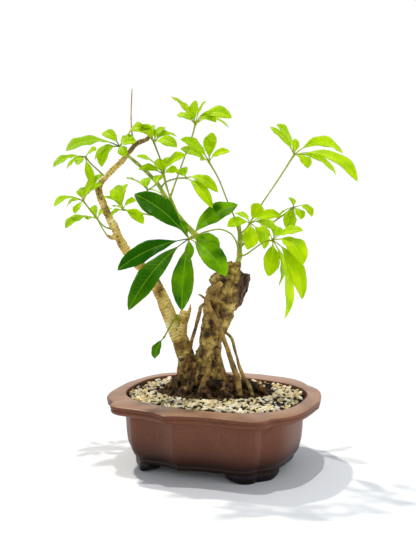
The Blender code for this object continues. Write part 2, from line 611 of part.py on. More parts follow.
def main():
    for obj in list(bpy.data.objects):
        bpy.data.objects.remove(obj, do_unlink=True)
    made = []

    def add(obj, name, material, colour, roughness):
        obj.name = name
        paint(obj, material, colour, roughness)
        made.append(obj)

    add(make_pot(), "pot", "stoneware", (0.16, 0.06, 0.04), 0.6)
    for name, x in (("drain_mesh_left", -DRAIN_X), ("drain_mesh_right", DRAIN_X)):
        add(make_drain_mesh(name, x), name, "black plastic", (0.02, 0.02, 0.02), 0.6)
    add(soil_shape("soil", 0.0, HOLE_RADIUS), "soil", "potting soil", (0.03, 0.018, 0.01), 0.95)
    add(make_gravel(), "gravel", "akadama and pumice", (0.55, 0.45, 0.28), 0.9)
    add(make_trunk(), "trunk", "bark", (0.25, 0.17, 0.09), 0.85)
    green = ("green stem", (0.12, 0.22, 0.03), 0.5)
    add(stem("left_shoot", shoot_stations(LEFT_COLLAR, LEFT_SHOOT, GAP)), "left_shoot", *green)
    add(stem("right_shoot", shoot_stations(RIGHT_COLLAR, RIGHT_SHOOT, GAP)), "right_shoot", *green)
    for name, (stem_name, route, hub, tips) in LEAVES.items():
        leaf = make_leaf(name, route, hub, tips, trimmer_for(stem_name))
        add(leaf, name, "leaf", (0.15, 0.42, 0.03), 0.4)

    group = bpy.data.collections.new("potted_umbrella_tree")
    bpy.context.scene.collection.children.link(group)
    bpy.context.view_layer.update()
    corners = [obj.matrix_world @ Vector(c) for obj in made for c in obj.bound_box]
    middle = Vector((sum(f(c[i] for c in corners) for f in (min, max)) / 2 for i in range(2)))
    for obj in made:
        for owner in list(obj.users_collection):
            owner.objects.unlink(obj)
        group.objects.link(obj)
        obj.matrix_world = Matrix.Translation((-middle.x, -middle.y, 0.0)) @ obj.matrix_world


main()
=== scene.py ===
# %% [markdown]
# # A potted umbrella tree bonsai
#
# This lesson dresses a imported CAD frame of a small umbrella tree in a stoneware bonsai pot.
# The frame gives the true sizes and the collision shapes. Every piece below is built over it
# in Blender, with the detail that the eye expects, and then takes the plain piece's place.

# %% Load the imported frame
import math
import random

import bmesh
import bpy
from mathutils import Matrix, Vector, kdtree, noise


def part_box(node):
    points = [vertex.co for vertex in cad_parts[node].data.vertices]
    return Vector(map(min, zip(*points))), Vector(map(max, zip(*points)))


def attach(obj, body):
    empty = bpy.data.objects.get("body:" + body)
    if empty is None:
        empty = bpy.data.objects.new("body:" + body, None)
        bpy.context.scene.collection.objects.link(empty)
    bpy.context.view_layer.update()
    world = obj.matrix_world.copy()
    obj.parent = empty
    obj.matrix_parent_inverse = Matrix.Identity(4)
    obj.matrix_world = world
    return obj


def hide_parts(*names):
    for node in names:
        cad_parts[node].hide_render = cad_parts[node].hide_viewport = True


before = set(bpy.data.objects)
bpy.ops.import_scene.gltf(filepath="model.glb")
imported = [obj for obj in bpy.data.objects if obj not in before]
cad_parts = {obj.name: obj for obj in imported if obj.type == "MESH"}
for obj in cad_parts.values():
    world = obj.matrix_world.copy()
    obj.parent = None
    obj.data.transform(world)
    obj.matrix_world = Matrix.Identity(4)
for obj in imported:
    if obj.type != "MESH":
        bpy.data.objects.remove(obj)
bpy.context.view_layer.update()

print("CAD nodes:", len(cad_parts))

# %% [markdown]
# ## Places and sizes
#
# The pot stands square to the world. The plant was measured from its best side, which looks out
# past the pot's front right corner. So its places are measured from a point 7 mm in front of the
# pot's middle and then turned by 22.5 degrees about that middle. All sizes are typed in
# millimetres, as on a drawing, and become metres in one place.

# %% From the plant's millimetres to the scene's metres
MM = 0.001
PLANT_TURN = math.radians(22.5)
POT_SHIFT = 7.0
pot_low, pot_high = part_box("pot")
POT_X = (pot_low.x + pot_high.x) / 2
POT_Y = (pot_low.y + pot_high.y) / 2
COS, SIN = math.cos(PLANT_TURN), math.sin(PLANT_TURN)


def plant(point):
    """A place on the plant, x to the right, y away and z up in mm, as a place in the scene."""
    x, y, z = point[0], point[1] - POT_SHIFT, point[2]
    return Vector((POT_X + (x * COS - y * SIN) * MM, POT_Y + (x * SIN + y * COS) * MM, z * MM))


def potted(x, y, z):
    """A place in the pot's own frame, in mm from its middle, as a place in the scene."""
    return Vector((POT_X + x * MM, POT_Y + y * MM, z * MM))


def smooth(points, steps):
    """A smooth run through the points, with steps spans between each two of them."""
    rows = [Vector(p) for p in points]
    rows = [rows[0] * 2 - rows[1]] + rows + [rows[-1] * 2 - rows[-2]]
    out = []
    for a, b, c, d in zip(rows, rows[1:], rows[2:], rows[3:]):
        for k in range(steps):
            t = k / steps
            out.append(0.5 * (2 * b + (c - a) * t + (2 * a - 5 * b + 4 * c - d) * t ** 2
                              + (3 * b - a - 3 * c + d) * t ** 3))
    out.append(rows[-2])
    return out


print(f"pot middle at {POT_X / MM:.1f}, {POT_Y / MM:.1f} mm")

# %% [markdown]
# ## Two helpers that every piece uses
#
# A shape is gathered as points and faces, with named values on the points that its material can
# read later, such as how far along a stem a point lies. Rings of points joined one to the next
# make every round thing here: the pot, the stalks and the leaf blades.

# %% Gather points, faces and values into a mesh


class Shape:
    """Points and faces of one piece, with named values on its points and marks on its faces."""

    def __init__(self):
        self.points, self.faces, self.values, self.marks = [], [], {}, []

    def ring(self, places, **values):
        """Adds a ring of points with their values, and returns the points' numbers."""
        start = len(self.points)
        self.points.extend(places)
        for name, value in values.items():
            column = self.values.setdefault(name, {})
            for k in range(len(places)):
                column[start + k] = value[k] if isinstance(value, list) else value
        return list(range(start, len(self.points)))

    def join(self, low, high, marks=None):
        """Joins two rings that have as many points by a band of faces."""
        count = len(low)
        for i in range(count):
            j = (i + 1) % count
            self.faces.append((low[i], low[j], high[j], high[i]))
            self.marks.append(marks[i] if marks else 0.0)

    def close(self, ring, flip=False):
        """Closes a ring by one face."""
        self.faces.append(tuple(reversed(ring)) if flip else tuple(ring))
        self.marks.append(0.0)

    def wrap(self, rings):
        """Joins rings one to the next and closes both ends."""
        for low, high in zip(rings, rings[1:]):
            self.join(low, high)
        self.close(rings[0])
        self.close(rings[-1], flip=True)

    def build(self, name, material):
        """Makes the object, with its points' values and its faces' marks."""
        data = bpy.data.meshes.new(name)
        data.from_pydata([tuple(p) for p in self.points], [], self.faces)
        for key, column in self.values.items():
            layer = data.attributes.new(key, "FLOAT", "POINT")
            layer.data.foreach_set("value", [column.get(i, 0.0) for i in range(len(self.points))])
        if any(self.marks):
            layer = data.attributes.new("underside", "FLOAT", "FACE")
            layer.data.foreach_set("value", self.marks)
        return dressed(name, data, material)


def dressed(name, data, material):
    """A smooth object of the mesh, its faces turned outwards, with its material."""
    work = bmesh.new()
    work.from_mesh(data)
    bmesh.ops.recalc_face_normals(work, faces=work.faces)
    work.to_mesh(data)
    work.free()
    data.polygons.foreach_set("use_smooth", [True] * len(data.polygons))
    data.materials.clear()
    data.materials.append(material)
    obj = bpy.data.objects.new(name, data)
    bpy.context.scene.collection.objects.link(obj)
    return obj


def finished(obj):
    """The object's evaluated shape as a plain mesh, with no modifier left on it."""
    bpy.context.view_layer.update()
    found = obj.evaluated_get(bpy.context.evaluated_depsgraph_get())
    data = bpy.data.meshes.new_from_object(found)
    obj.modifiers.clear()
    old, obj.data = obj.data, data
    bpy.data.meshes.remove(old)
    return obj


def hand_over(obj, slot, *nodes):
    """Rides the piece on the part and lets it stand for CAD nodes. The slot is not used."""
    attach(obj, "root")
    if nodes:
        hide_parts(*nodes)
    print(f"{obj.name}: {len(obj.data.polygons)} faces")


# %% [markdown]
# ## Helpers for materials
#
# Colours are picked as sRGB hex values, as a colour picker shows them, and turned to the linear
# light that Cycles works in. One function adds a node of any kind, with its settings and its
# links. A node that is given as an input's value stands for its own first output in use.

# %% Colours and nodes


def colour(hex_value):
    """An sRGB hex colour as linear red, green, blue and alpha."""
    parts = [int(hex_value[i:i + 2], 16) / 255 for i in (1, 3, 5)]
    return tuple(p / 12.92 if p <= 0.04045 else ((p + 0.055) / 1.055) ** 2.4 for p in parts) + (1.0,)


def link(tree, source, target):
    """Links an output, or a node's first output in use, to an input."""
    if isinstance(source, bpy.types.Node):
        source = next(output for output in source.outputs if output.enabled)
    tree.links.new(source, target)


def add(tree, kind, inputs=None, stops=(), **settings):
    """Adds a node with its settings and colour stops, and sets or links its inputs."""
    made = tree.nodes.new(kind)
    for name, value in settings.items():
        setattr(made, name, value)
    for name, value in (inputs or {}).items():
        if isinstance(value, (bpy.types.Node, bpy.types.NodeSocket)):
            link(tree, value, made.inputs[name])
        else:
            made.inputs[name].default_value = value
    if stops:
        elements = made.color_ramp.elements
        while len(elements) < len(stops):
            elements.new(0.5)
        for element, (place, hex_value) in zip(elements, stops):
            element.position = place
            element.color = colour(hex_value)
    return made


def new_material(name, **constants):
    """A material, its nodes, its one Principled shader with steady values, and the place on it."""
    made = bpy.data.materials.new(name)
    made.use_nodes = True
    shader = made.node_tree.nodes["Principled BSDF"]
    for key, value in constants.items():
        shader.inputs[key.replace("_", " ")].default_value = value
    here = add(made.node_tree, "ShaderNodeTexCoord").outputs["Object"]
    return made, made.node_tree, shader, here


def lumps(size_mm):
    """The scale of a noise whose lumps are about size_mm across."""
    return 0.5 / (size_mm * MM)


print("helpers ready")

# %% [markdown]
# ## Unglazed stoneware
#
# Bonsai pots of this kind are fired without a glaze from an iron-rich clay. The surface is
# slightly sandy, warm dark red-brown, and smooth enough to show a pale sheen at low angles.
# One broad noise varies the colour and a fine one gives specks. Bump raises the grain of half a
# millimetre and the slow waves that hands left. Dust and painted light from above pale the faces
# that look up, and painted shade darkens the clay towards the foot.

# %% Stoneware
# Sizes in mm: the clay's grain, its slow waves, and the heights between which painted shade
# darkens the clay towards the foot.
CLAY_GRAIN, CLAY_WAVES = 0.5, 9.0
FOOT_SHADE_FROM, FOOT_SHADE_TO = 4.0, 45.0


def make_stoneware():
    made, tree, shader, here = new_material("unglazed red-brown stoneware", Roughness=0.38, IOR=1.5,
                                            Specular_IOR_Level=0.25)
    broad = add(tree, "ShaderNodeTexNoise", {"Vector": here, "Scale": lumps(30), "Detail": 4.0})
    body = add(tree, "ShaderNodeValToRGB", {"Fac": broad},
               stops=((0.3, "#5A311B"), (0.5, "#643722"), (0.72, "#70402A")))
    fine = add(tree, "ShaderNodeTexNoise", {"Vector": here, "Scale": lumps(0.9), "Detail": 2.0})
    specks = add(tree, "ShaderNodeValToRGB", {"Fac": fine},
                 stops=((0.35, "#5E3827"), (0.5, "#7C4C38"), (0.68, "#9A6D57")))
    # Faces that look up are paled towards buff: dust, and painted light from above.
    normal = add(tree, "ShaderNodeNewGeometry").outputs["Normal"]
    facing = add(tree, "ShaderNodeSeparateXYZ", {"Vector": normal}).outputs["Z"]
    dust = add(tree, "ShaderNodeMapRange", {"Value": facing, "From Min": 0.55, "To Max": 0.5})
    # Painted shade: the clay darkens from these heights down to the foot, under the pot.
    height = add(tree, "ShaderNodeSeparateXYZ", {"Vector": here}).outputs["Z"]
    low = add(tree, "ShaderNodeMapRange", {"Value": height, "From Min": FOOT_SHADE_FROM * MM,
                                           "From Max": FOOT_SHADE_TO * MM})
    damp = add(tree, "ShaderNodeValToRGB", {"Fac": low},
               stops=((0.0, "#1E1612"), (0.28, "#6E6058"), (0.7, "#E6E2DE"), (1.0, "#FFFFFF")))
    skin = body
    for mode, share, paint in (("MIX", 0.12, specks), ("MIX", dust, colour("#C79C7A")),
                               ("MULTIPLY", 1.0, damp)):
        skin = add(tree, "ShaderNodeMix", {"Factor": share, "A": skin, "B": paint}, data_type="RGBA",
                   blend_type=mode)
    link(tree, skin, shader.inputs["Base Color"])
    grain = add(tree, "ShaderNodeTexNoise", {"Vector": here, "Scale": lumps(CLAY_GRAIN), "Detail": 2.0})
    sand = add(tree, "ShaderNodeBump", {"Strength": 0.12, "Distance": 0.2 * MM, "Height": grain})
    slow = add(tree, "ShaderNodeTexNoise", {"Vector": here, "Scale": lumps(CLAY_WAVES), "Detail": 2.0})
    waves = add(tree, "ShaderNodeBump", {"Strength": 0.25, "Distance": 0.6 * MM, "Height": slow,
                                         "Normal": sand})
    link(tree, waves, shader.inputs["Normal"])
    return made


stoneware = make_stoneware()

# %% [markdown]
# ## The pot
#
# The pot's plan is a run of soft curves. They meet in a concave corner at each end of its long
# sides, and in a blunt point or a flat place at the middle of each side. Each run is one Bezier
# curve, and a profile from the underside up to the rim and down the inside is carried round
# that plan, as a potter's template is. The rim's opening is a smooth oval, so the profile's
# inner part follows an oval instead. The feet are brackets round the four corners.

# %% The pot's plan
POT_LENGTH, POT_WIDTH = 200.0, 184.0
# Clockwise from the back right corner: start, two handles, end, and how many spans.
PLAN = (
    ((72, 66), (92, 56), (95, 31), (100, 10), 5),
    ((100, 10), (100, -42), (96, -49), (78, -65), 5),
    ((78, -65), (75, -95), (24, -71), (-14, -92), 6),
    ((-14, -92), (-51, -71), (-75, -95), (-78, -65), 6),
    ((-78, -65), (-96, -49), (-100, -42), (-100, 10), 5),
    ((-100, 10), (-95, 31), (-92, 56), (-72, 66), 5),
    ((-72, 66), (-56, 94), (-12, 88), (14, 92), 6),
    ((14, 92), (40, 88), (54, 92), (72, 66), 6),
)
CORNERS = (0, 10, 22, 32)
OVAL_POWER = 2.6
FINER = 6


def outline(inset):
    """The pot's plan, drawn in by inset along both of its axes."""
    points = []
    for p, q, r, s, spans in PLAN:
        p, q, r, s = Vector(p), Vector(q), Vector(r), Vector(s)
        for k in range(spans * FINER):
            t = k / (spans * FINER)
            points.append(p * (1 - t) ** 3 + q * 3 * t * (1 - t) ** 2
                          + r * 3 * t ** 2 * (1 - t) + s * t ** 3)
    along, across = 1 - inset / (POT_LENGTH / 2), 1 - inset / (POT_WIDTH / 2)
    return [Vector((p.x * along, p.y * across)) for p in points]


def oval(half_length, half_width):
    """The smooth oval of the inside, one point towards each point of the outline."""
    points = []
    for p in outline(0.0):
        size = abs(p.x / half_length) ** OVAL_POWER + abs(p.y / half_width) ** OVAL_POWER
        points.append(p / size ** (1 / OVAL_POWER))
    return points


def level(points, z):
    """The points of a plan at one height, as places in the scene."""
    return [potted(p.x, p.y, z) for p in points]


WALL_POINTS = len(outline(0.0))
print("points round the pot:", WALL_POINTS)

# %% [markdown]
# The profile is given as corners and short curves. A rounded corner is what a wet sponge leaves
# on every edge of a clay pot, so each corner is cut back and bent through a few points.

# %% The pot's profile
# How far inside the rim's edge, height, and how far each corner is rounded, from below upwards.
OUTER_PROFILE = (
    (31.0, 8.0, 0.5), (26.2, 8.2, 1.2), (24.8, 11.0, 1.2), (25.2, 13.2, 0.5), (23.4, 13.9, 0.7),
    (20.8, 17.5, 1.6), (18.8, 23.0, 2.6), (17.8, 31.0, 4.0), (17.2, 42.0, 5.0), (16.5, 55.4, 0.8),
    (14.6, 56.9, 0.8), (3.2, 57.6, 0.7), (1.0, 59.4, 0.8), (0.7, 61.4, 0.5), (2.0, 62.3, 0.4),
    (0.3, 63.4, 0.6), (0.7, 65.6, 0.9), (3.0, 66.6, 1.0),
)
INNER_PROFILE = (
    (86.4, 66.9, 67.4), (85.6, 66.1, 67.2), (85.1, 65.6, 66.2), (84.0, 64.6, 62.0),
    (79.0, 60.5, 54.0), (77.0, 59.0, 32.0), (72.0, 54.0, 18.0), (68.0, 50.0, 14.5),
)
CORNER_STEPS = 3


def rounded(profile):
    """The profile with each corner replaced by a short bend."""
    out = [profile[0][:2]]
    for before, (d, z, cut), after in zip(profile, profile[1:], profile[2:]):
        corner = Vector((d, z))
        back, on = Vector(before[:2]) - corner, Vector(after[:2]) - corner
        start = corner + back.normalized() * min(cut, back.length / 2)
        end = corner + on.normalized() * min(cut, on.length / 2)
        for k in range(CORNER_STEPS + 1):
            t = k / CORNER_STEPS
            out.append(tuple(start * (1 - t) ** 2 + corner * 2 * t * (1 - t) + end * t ** 2))
    out.append(profile[-1][:2])
    return out


print("profile points outside:", len(rounded(OUTER_PROFILE)))

# %% [markdown]
# A bracket foot follows the pot's corner for a few spans to each side. Its underside is flat in
# the middle and sweeps up at both ends, which makes the pot look lighter. Each foot is a row of
# six-sided rings that starts and ends inside the pot's underside.

# %% Bracket feet
# How far in the foot's outer and inner faces lie, its height and the arch at its ends, in mm.
FOOT_INSETS = (26.0, 38.0)
FOOT_TOP, FOOT_ARCH = 9.5, 5.0
# In spans of the plan: how far the foot runs from its corner, and how much of that is the arch.
FOOT_REACH, ARCH_REACH = 3, 1.6
ARCH_POWER = 0.7


def foot_underside(k, count):
    """How high a bracket foot's underside is, from its end in to its flat middle."""
    end = min(k, count - k) / (ARCH_REACH * FINER)
    return FOOT_ARCH * (1 - math.sin(min(end, 1.0) * math.pi / 2) ** ARCH_POWER)


def add_foot(shape, corner):
    """A bracket foot that runs a few spans to each side of a corner."""
    outer, inner, reach = outline(FOOT_INSETS[0]), outline(FOOT_INSETS[1]), FOOT_REACH * FINER
    rings = []
    for k in range(2 * reach + 1):
        i = (corner - reach + k) % WALL_POINTS
        p, q, under = outer[i], inner[i], foot_underside(k, 2 * reach)
        out = (p - q).normalized()
        rings.append(shape.ring([
            potted(*(p - out * 0.8), under), potted(*p, under + 0.8),
            potted(*(p + out * 0.5), FOOT_TOP - 2.6), potted(*(p - out * 0.3), FOOT_TOP),
            potted(*q, FOOT_TOP), potted(*q, under)]))
    shape.wrap(rings)


print("bracket foot ready")

# %% [markdown]
# The rings of the profile are joined from the underside over the rim to the floor inside. The
# feet are then fused to the pot, and two drills cut the drain holes, as in the clay.

# %% The pot's body
DRAIN_RADIUS, DRAIN_X, DRAIN_SIDES = 7.0, 40.0, 40
DRILL_LENGTH, DRILL_Z = 20.0, 11.0
INSIDE_STEPS = 4


def cut(obj, operation, others):
    """Joins or cuts the object with the others and leaves a plain mesh."""
    for other in others:
        step = obj.modifiers.new(operation.lower(), "BOOLEAN")
        step.operation, step.solver, step.object = operation, "EXACT", other
    finished(obj)
    for other in others:
        bpy.data.objects.remove(other, do_unlink=True)
    return obj


def make_pot():
    body = Shape()
    rings = [body.ring(level(outline(d), z)) for d, z in rounded(OUTER_PROFILE)]
    inner = smooth(INNER_PROFILE, INSIDE_STEPS)
    rings += [body.ring(level(oval(p.x, p.y), p.z)) for p in inner]
    body.wrap(rings)
    pot = body.build("stoneware_pot", stoneware)
    feet = []
    for corner in CORNERS:
        foot = Shape()
        add_foot(foot, corner * FINER)
        feet.append(foot.build("foot", stoneware))
    cut(pot, "UNION", feet)
    drills = []
    for side in (-1, 1):
        bpy.ops.mesh.primitive_cylinder_add(
            vertices=DRAIN_SIDES, radius=DRAIN_RADIUS * MM, depth=DRILL_LENGTH * MM,
            location=potted(side * DRAIN_X, 0, DRILL_Z))
        drills.append(bpy.context.object)
    return cut(pot, "DIFFERENCE", drills)


pot = make_pot()
hand_over(pot, "stoneware", "pot")

# %% [markdown]
# ## Soil and gravel
#
# The root ball sits on a low dark mound. Round it lies bonsai gravel, 3 to 4.5 mm grains of pale
# pumice, ochre akadama and black lava, up to just under the rim. Soil and gravel follow one
# gentle mound, whose height a formula gives for any place in the pot.

# %% The ground
SOIL_EDGE_Z, MOUND_RISE = 61.5, 5.0
MOUND_CENTRE, MOUND_REACH = (0.0, 26.0), (42.0, 32.0)
HOLE_CENTRE, HOLE_RADIUS, HOLE_FLOOR_Z = (-13.0, 31.0), 13.0, 34.0
BARE_CENTRE, BARE_REACH = (0.0, 24.0), (57.0, 36.0)
GRAVEL_WALL = (82.0, 63.0)


def in_plant(x, y):
    """A place in the pot's frame, as the plant's x and y."""
    return x * COS + y * SIN, POT_SHIFT - x * SIN + y * COS


def ground(x, y):
    """Height of the soil at a place in the pot's frame."""
    px, py = in_plant(x, y)
    dx, dy = (px - MOUND_CENTRE[0]) / MOUND_REACH[0], (py - MOUND_CENTRE[1]) / MOUND_REACH[1]
    return SOIL_EDGE_Z + MOUND_RISE * math.exp(-dx * dx - dy * dy)


def oval_in_plant(centre, reach_x, reach_y, pattern):
    """An oval that lies with the plant, one point towards each point of the pattern."""
    points = []
    for p in pattern:
        px, py = in_plant(p.x, p.y)
        angle = math.atan2((py - centre[1]) / reach_y, (px - centre[0]) / reach_x)
        x = centre[0] + reach_x * math.cos(angle)
        y = centre[1] + reach_y * math.sin(angle) - POT_SHIFT
        points.append(Vector((x * COS - y * SIN, x * SIN + y * COS)))
    return points


print(f"soil at the mound's top: {ground(-8.0, 25.0):.1f} mm")

# %% [markdown]
# Soil and gravel are crumbs and broken stone with no sheen at all. The soil is one dark noise,
# nearly black as painted shade in its hollows. In the gravel the colour changes from grain to
# grain, not within one, so it reads a random value that each grain carries.

# %% Soil and gravel materials


def make_soil_material():
    """Wet crumbs of earth: brown on top and nearly black between them as painted shade, with no sheen."""
    made, tree, shader, here = new_material("damp peat and bark soil", Roughness=0.95, IOR=1.4)
    crumbs = add(tree, "ShaderNodeTexNoise", {"Vector": here, "Scale": lumps(2.0), "Detail": 5.0})
    # The noise that raises the crumbs also colours them: its low hollows get painted shade.
    dark = add(tree, "ShaderNodeValToRGB", {"Fac": crumbs},
               stops=((0.34, "#0B0705"), (0.52, "#1C120B"), (0.64, "#3A2616"), (0.76, "#6A4A2C")))
    bump = add(tree, "ShaderNodeBump", {"Strength": 0.9, "Distance": 1.2 * MM, "Height": crumbs})
    link(tree, dark, shader.inputs["Base Color"])
    link(tree, bump, shader.inputs["Normal"])
    return made


def make_gravel_material():
    """Broken stone: every grain takes one colour from its own random value, and looks dusty."""
    made, tree, shader, here = new_material("pumice, akadama and lava gravel", Roughness=0.85, IOR=1.45)
    tint = add(tree, "ShaderNodeAttribute", attribute_name="grain_tint").outputs["Fac"]
    stone = add(tree, "ShaderNodeValToRGB", {"Fac": tint},
                stops=((0.0, "#0C0908"), (0.25, "#1E1611"), (0.28, "#8A6A40"), (0.34, "#D2B274"),
                       (0.48, "#ECD69A"), (0.62, "#F6E8C0"), (0.86, "#FFF9E8"), (1.0, "#E0B566")))
    pits = add(tree, "ShaderNodeTexNoise", {"Vector": here, "Scale": lumps(0.8), "Detail": 3.0})
    dust = add(tree, "ShaderNodeValToRGB", {"Fac": pits}, stops=((0.3, "#6E5A3C"), (0.5, "#FFFFFF")))
    skin = add(tree, "ShaderNodeMix", {"Factor": 0.55, "A": stone, "B": dust}, data_type="RGBA",
               blend_type="MULTIPLY")
    bump = add(tree, "ShaderNodeBump", {"Strength": 0.6, "Distance": 0.4 * MM, "Height": pits})
    link(tree, skin, shader.inputs["Base Color"])
    link(tree, bump, shader.inputs["Normal"])
    return made


soil_material = make_soil_material()
gravel_material = make_gravel_material()
print("materials:", soil_material.name, "and", gravel_material.name)

# %% [markdown]
# The grains repeat by the thousand, so Geometry Nodes scatter them: points spread evenly over a
# bed, a rounded block on each, turned and sized at random, and then every block is bent by one
# field of noise so that no two are alike. A block has few faces, because there are so many.

# %% The scatter tree
BLOCK_SIDE, BLOCK_ROUNDNESS, BLOCK_POINTS = 1.15, 0.72, 3
LEAST_SHARES, MOST_SHARES = (0.8, 0.65, 0.55), (1.25, 1.0, 0.9)
# A full turn in radians, near enough for what is turned at random.
FULL_TURN = 6.28
SHAPE_SEED, TINT_SEED = 9, 4
MOST_POINTS_PER_M2 = 400000.0
FIELD_SCALE = 260.0


def scatter_tree(name, material):
    """A tree that strews rounded grains on its mesh, where the mesh's own values allow them."""
    tree = bpy.data.node_groups.new(name, "GeometryNodeTree")
    tree.interface.new_socket("Geometry", in_out="INPUT", socket_type="NodeSocketGeometry")
    for label in ("Spacing", "Smallest", "Largest", "Roughness"):
        tree.interface.new_socket(label, in_out="INPUT", socket_type="NodeSocketFloat")
    tree.interface.new_socket("Seed", in_out="INPUT", socket_type="NodeSocketInt")
    tree.interface.new_socket("Geometry", in_out="OUTPUT", socket_type="NodeSocketGeometry")
    given = add(tree, "NodeGroupInput").outputs
    allowed = add(tree, "GeometryNodeInputNamedAttribute", {"Name": "strewn"}, data_type="FLOAT")
    spread = add(tree, "GeometryNodeDistributePointsOnFaces", {
        "Mesh": given["Geometry"], "Distance Min": given["Spacing"], "Density Max": MOST_POINTS_PER_M2,
        "Density Factor": allowed, "Seed": given["Seed"]}, distribute_method="POISSON")
    block = add(tree, "GeometryNodeMeshCube", {"Size": (BLOCK_SIDE,) * 3, "Vertices X": BLOCK_POINTS,
                                               "Vertices Y": BLOCK_POINTS, "Vertices Z": BLOCK_POINTS})
    place = add(tree, "GeometryNodeInputPosition")
    ball = add(tree, "ShaderNodeVectorMath", {0: place}, operation="NORMALIZE")
    mixed = add(tree, "ShaderNodeMix", {"Factor": BLOCK_ROUNDNESS, "A": place, "B": ball},
                data_type="VECTOR")
    grain = add(tree, "GeometryNodeSetPosition", {"Geometry": block.outputs["Mesh"], "Position": mixed})
    smooth_grain = add(tree, "GeometryNodeSetShadeSmooth", {"Geometry": grain, "Shade Smooth": True})
    turn = add(tree, "FunctionNodeRandomValue", {"Max": (FULL_TURN,) * 3, "Seed": given["Seed"]},
               data_type="FLOAT_VECTOR")
    size = add(tree, "FunctionNodeRandomValue", {"Min": given["Smallest"], "Max": given["Largest"],
                                                 "Seed": given["Seed"]}, data_type="FLOAT")
    squat = add(tree, "FunctionNodeRandomValue", {"Min": LEAST_SHARES, "Max": MOST_SHARES,
                                                  "Seed": SHAPE_SEED}, data_type="FLOAT_VECTOR")
    whole = add(tree, "ShaderNodeVectorMath", {0: squat, "Scale": size}, operation="SCALE")
    placed = add(tree, "GeometryNodeInstanceOnPoints", {
        "Points": spread.outputs["Points"], "Instance": smooth_grain, "Rotation": turn, "Scale": whole})
    tint = add(tree, "FunctionNodeRandomValue", {"Seed": TINT_SEED}, data_type="FLOAT")
    tinted = add(tree, "GeometryNodeStoreNamedAttribute", {
        "Geometry": placed, "Name": "grain_tint", "Value": tint}, data_type="FLOAT", domain="INSTANCE")
    real = add(tree, "GeometryNodeRealizeInstances", {"Geometry": tinted})
    field = add(tree, "ShaderNodeTexNoise", {"Scale": FIELD_SCALE, "Detail": 1.0})
    centred = add(tree, "ShaderNodeVectorMath", {0: field.outputs["Color"], 1: (0.5, 0.5, 0.5)},
                  operation="SUBTRACT")
    push = add(tree, "ShaderNodeVectorMath", {0: centred, "Scale": given["Roughness"]}, operation="SCALE")
    broken = add(tree, "GeometryNodeSetPosition", {"Geometry": real, "Offset": push})
    both = add(tree, "GeometryNodeJoinGeometry")
    link(tree, given["Geometry"], both.inputs[0])
    link(tree, broken, both.inputs[0])
    painted = add(tree, "GeometryNodeSetMaterial", {"Geometry": both, "Material": material})
    add(tree, "NodeGroupOutput", {0: painted})
    return tree


def strew(obj, tree, **sizes):
    """Runs the scatter tree on the object with sizes in mm, and leaves a plain mesh."""
    step = obj.modifiers.new("strew", "NODES")
    step.node_group = tree
    keys = {item.name: item.identifier for item in tree.interface.items_tree if item.in_out == "INPUT"}
    for label, value in sizes.items():
        step[keys[label]] = value if label == "Seed" else value * MM
    return finished(obj)


print("scatter tree ready")

# %% [markdown]
# The gravel's bed is a closed ring, a little lower than the grains' tops, and painted near black
# as the shade in the gaps between grains, so they look deep. Values on its points keep the grains
# clear of the wall and let them thin out where the bare soil starts.

# %% Gravel
BED_SPANS = 12
# In mm over the soil: the bed's height, how much of it goes where it ends, and its underside.
BED_HEIGHT, BED_LOSS, BED_BASE = 3.1, 2.4, 0.6
# The bed's place on the gravel's colour ramp: near black, painted shade in the gaps.
BED_GAP_SHADE = 0.1


def ring_points(outer, inner, share, lift):
    """Places on the ground, part of the way from an outer plan to an inner one."""
    points = [a.lerp(b, share) for a, b in zip(outer, inner)]
    return [potted(p.x, p.y, ground(p.x, p.y) + lift) for p in points]


def make_gravel():
    bed = Shape()
    wall = oval(*GRAVEL_WALL)
    bare = oval_in_plant(BARE_CENTRE, *BARE_REACH, wall)
    rings = []
    for k in range(BED_SPANS + 1):
        share = k / BED_SPANS
        rings.append(bed.ring(ring_points(wall, bare, share, BED_HEIGHT - BED_LOSS * share ** 6),
                              strewn=0.0 if k == 0 else 1.0, grain_tint=BED_GAP_SHADE))
    for share in (1.0, 0.5, 0.0):
        rings.append(bed.ring(ring_points(wall, bare, share, BED_BASE), strewn=0.0, grain_tint=BED_GAP_SHADE))
    for low, high in zip(rings, rings[1:] + rings[:1]):
        bed.join(low, high)
    gravel = bed.build("bonsai_gravel", gravel_material)
    return strew(gravel, scatter_tree("gravel scatter", gravel_material), Spacing=2.5, Smallest=1.7,
                 Largest=3.1, Roughness=2.2, Seed=7)


gravel = make_gravel()
hand_over(gravel, "gravel", "gravel")

# %% [markdown]
# The soil is one closed body that fills the pot, with a well for the root base. Only its top
# shows, so that part gets closely spaced rings and a crumbly relief, and a few loose crumbs.

# %% Soil
# Half length, half width and height of the space in the pot, from above, less a small gap.
SOIL_GAP = 0.35
SOIL_WALL = tuple((a - SOIL_GAP, b - SOIL_GAP, z) for a, b, z in (
    (85.0, 65.5, 66.2), (79.0, 60.5, 54.0), (77.0, 59.0, 32.0), (72.0, 54.0, 18.0), (68.0, 50.0, 15.9)))
TOP_SPANS = 40
CRUMB_SIZE, CRUMB_HEIGHT = 7.0, 1.6
# Shares of the way from the wall to the root base: where the relief starts, and loose crumbs lie.
RELIEF_FROM = 0.3
CRUMBS_FROM, CRUMBS_TO = 0.35, 0.97


def crumbly(place, share):
    """The place lifted by crumbs of earth, not beyond the wall nor under the gravel."""
    lift = CRUMB_HEIGHT * noise.fractal(place / (CRUMB_SIZE * MM), 1.0, 2.0, 5)
    return place + Vector((0, 0, lift * MM * min(1.0, max(0.0, (share - RELIEF_FROM) * 8))))


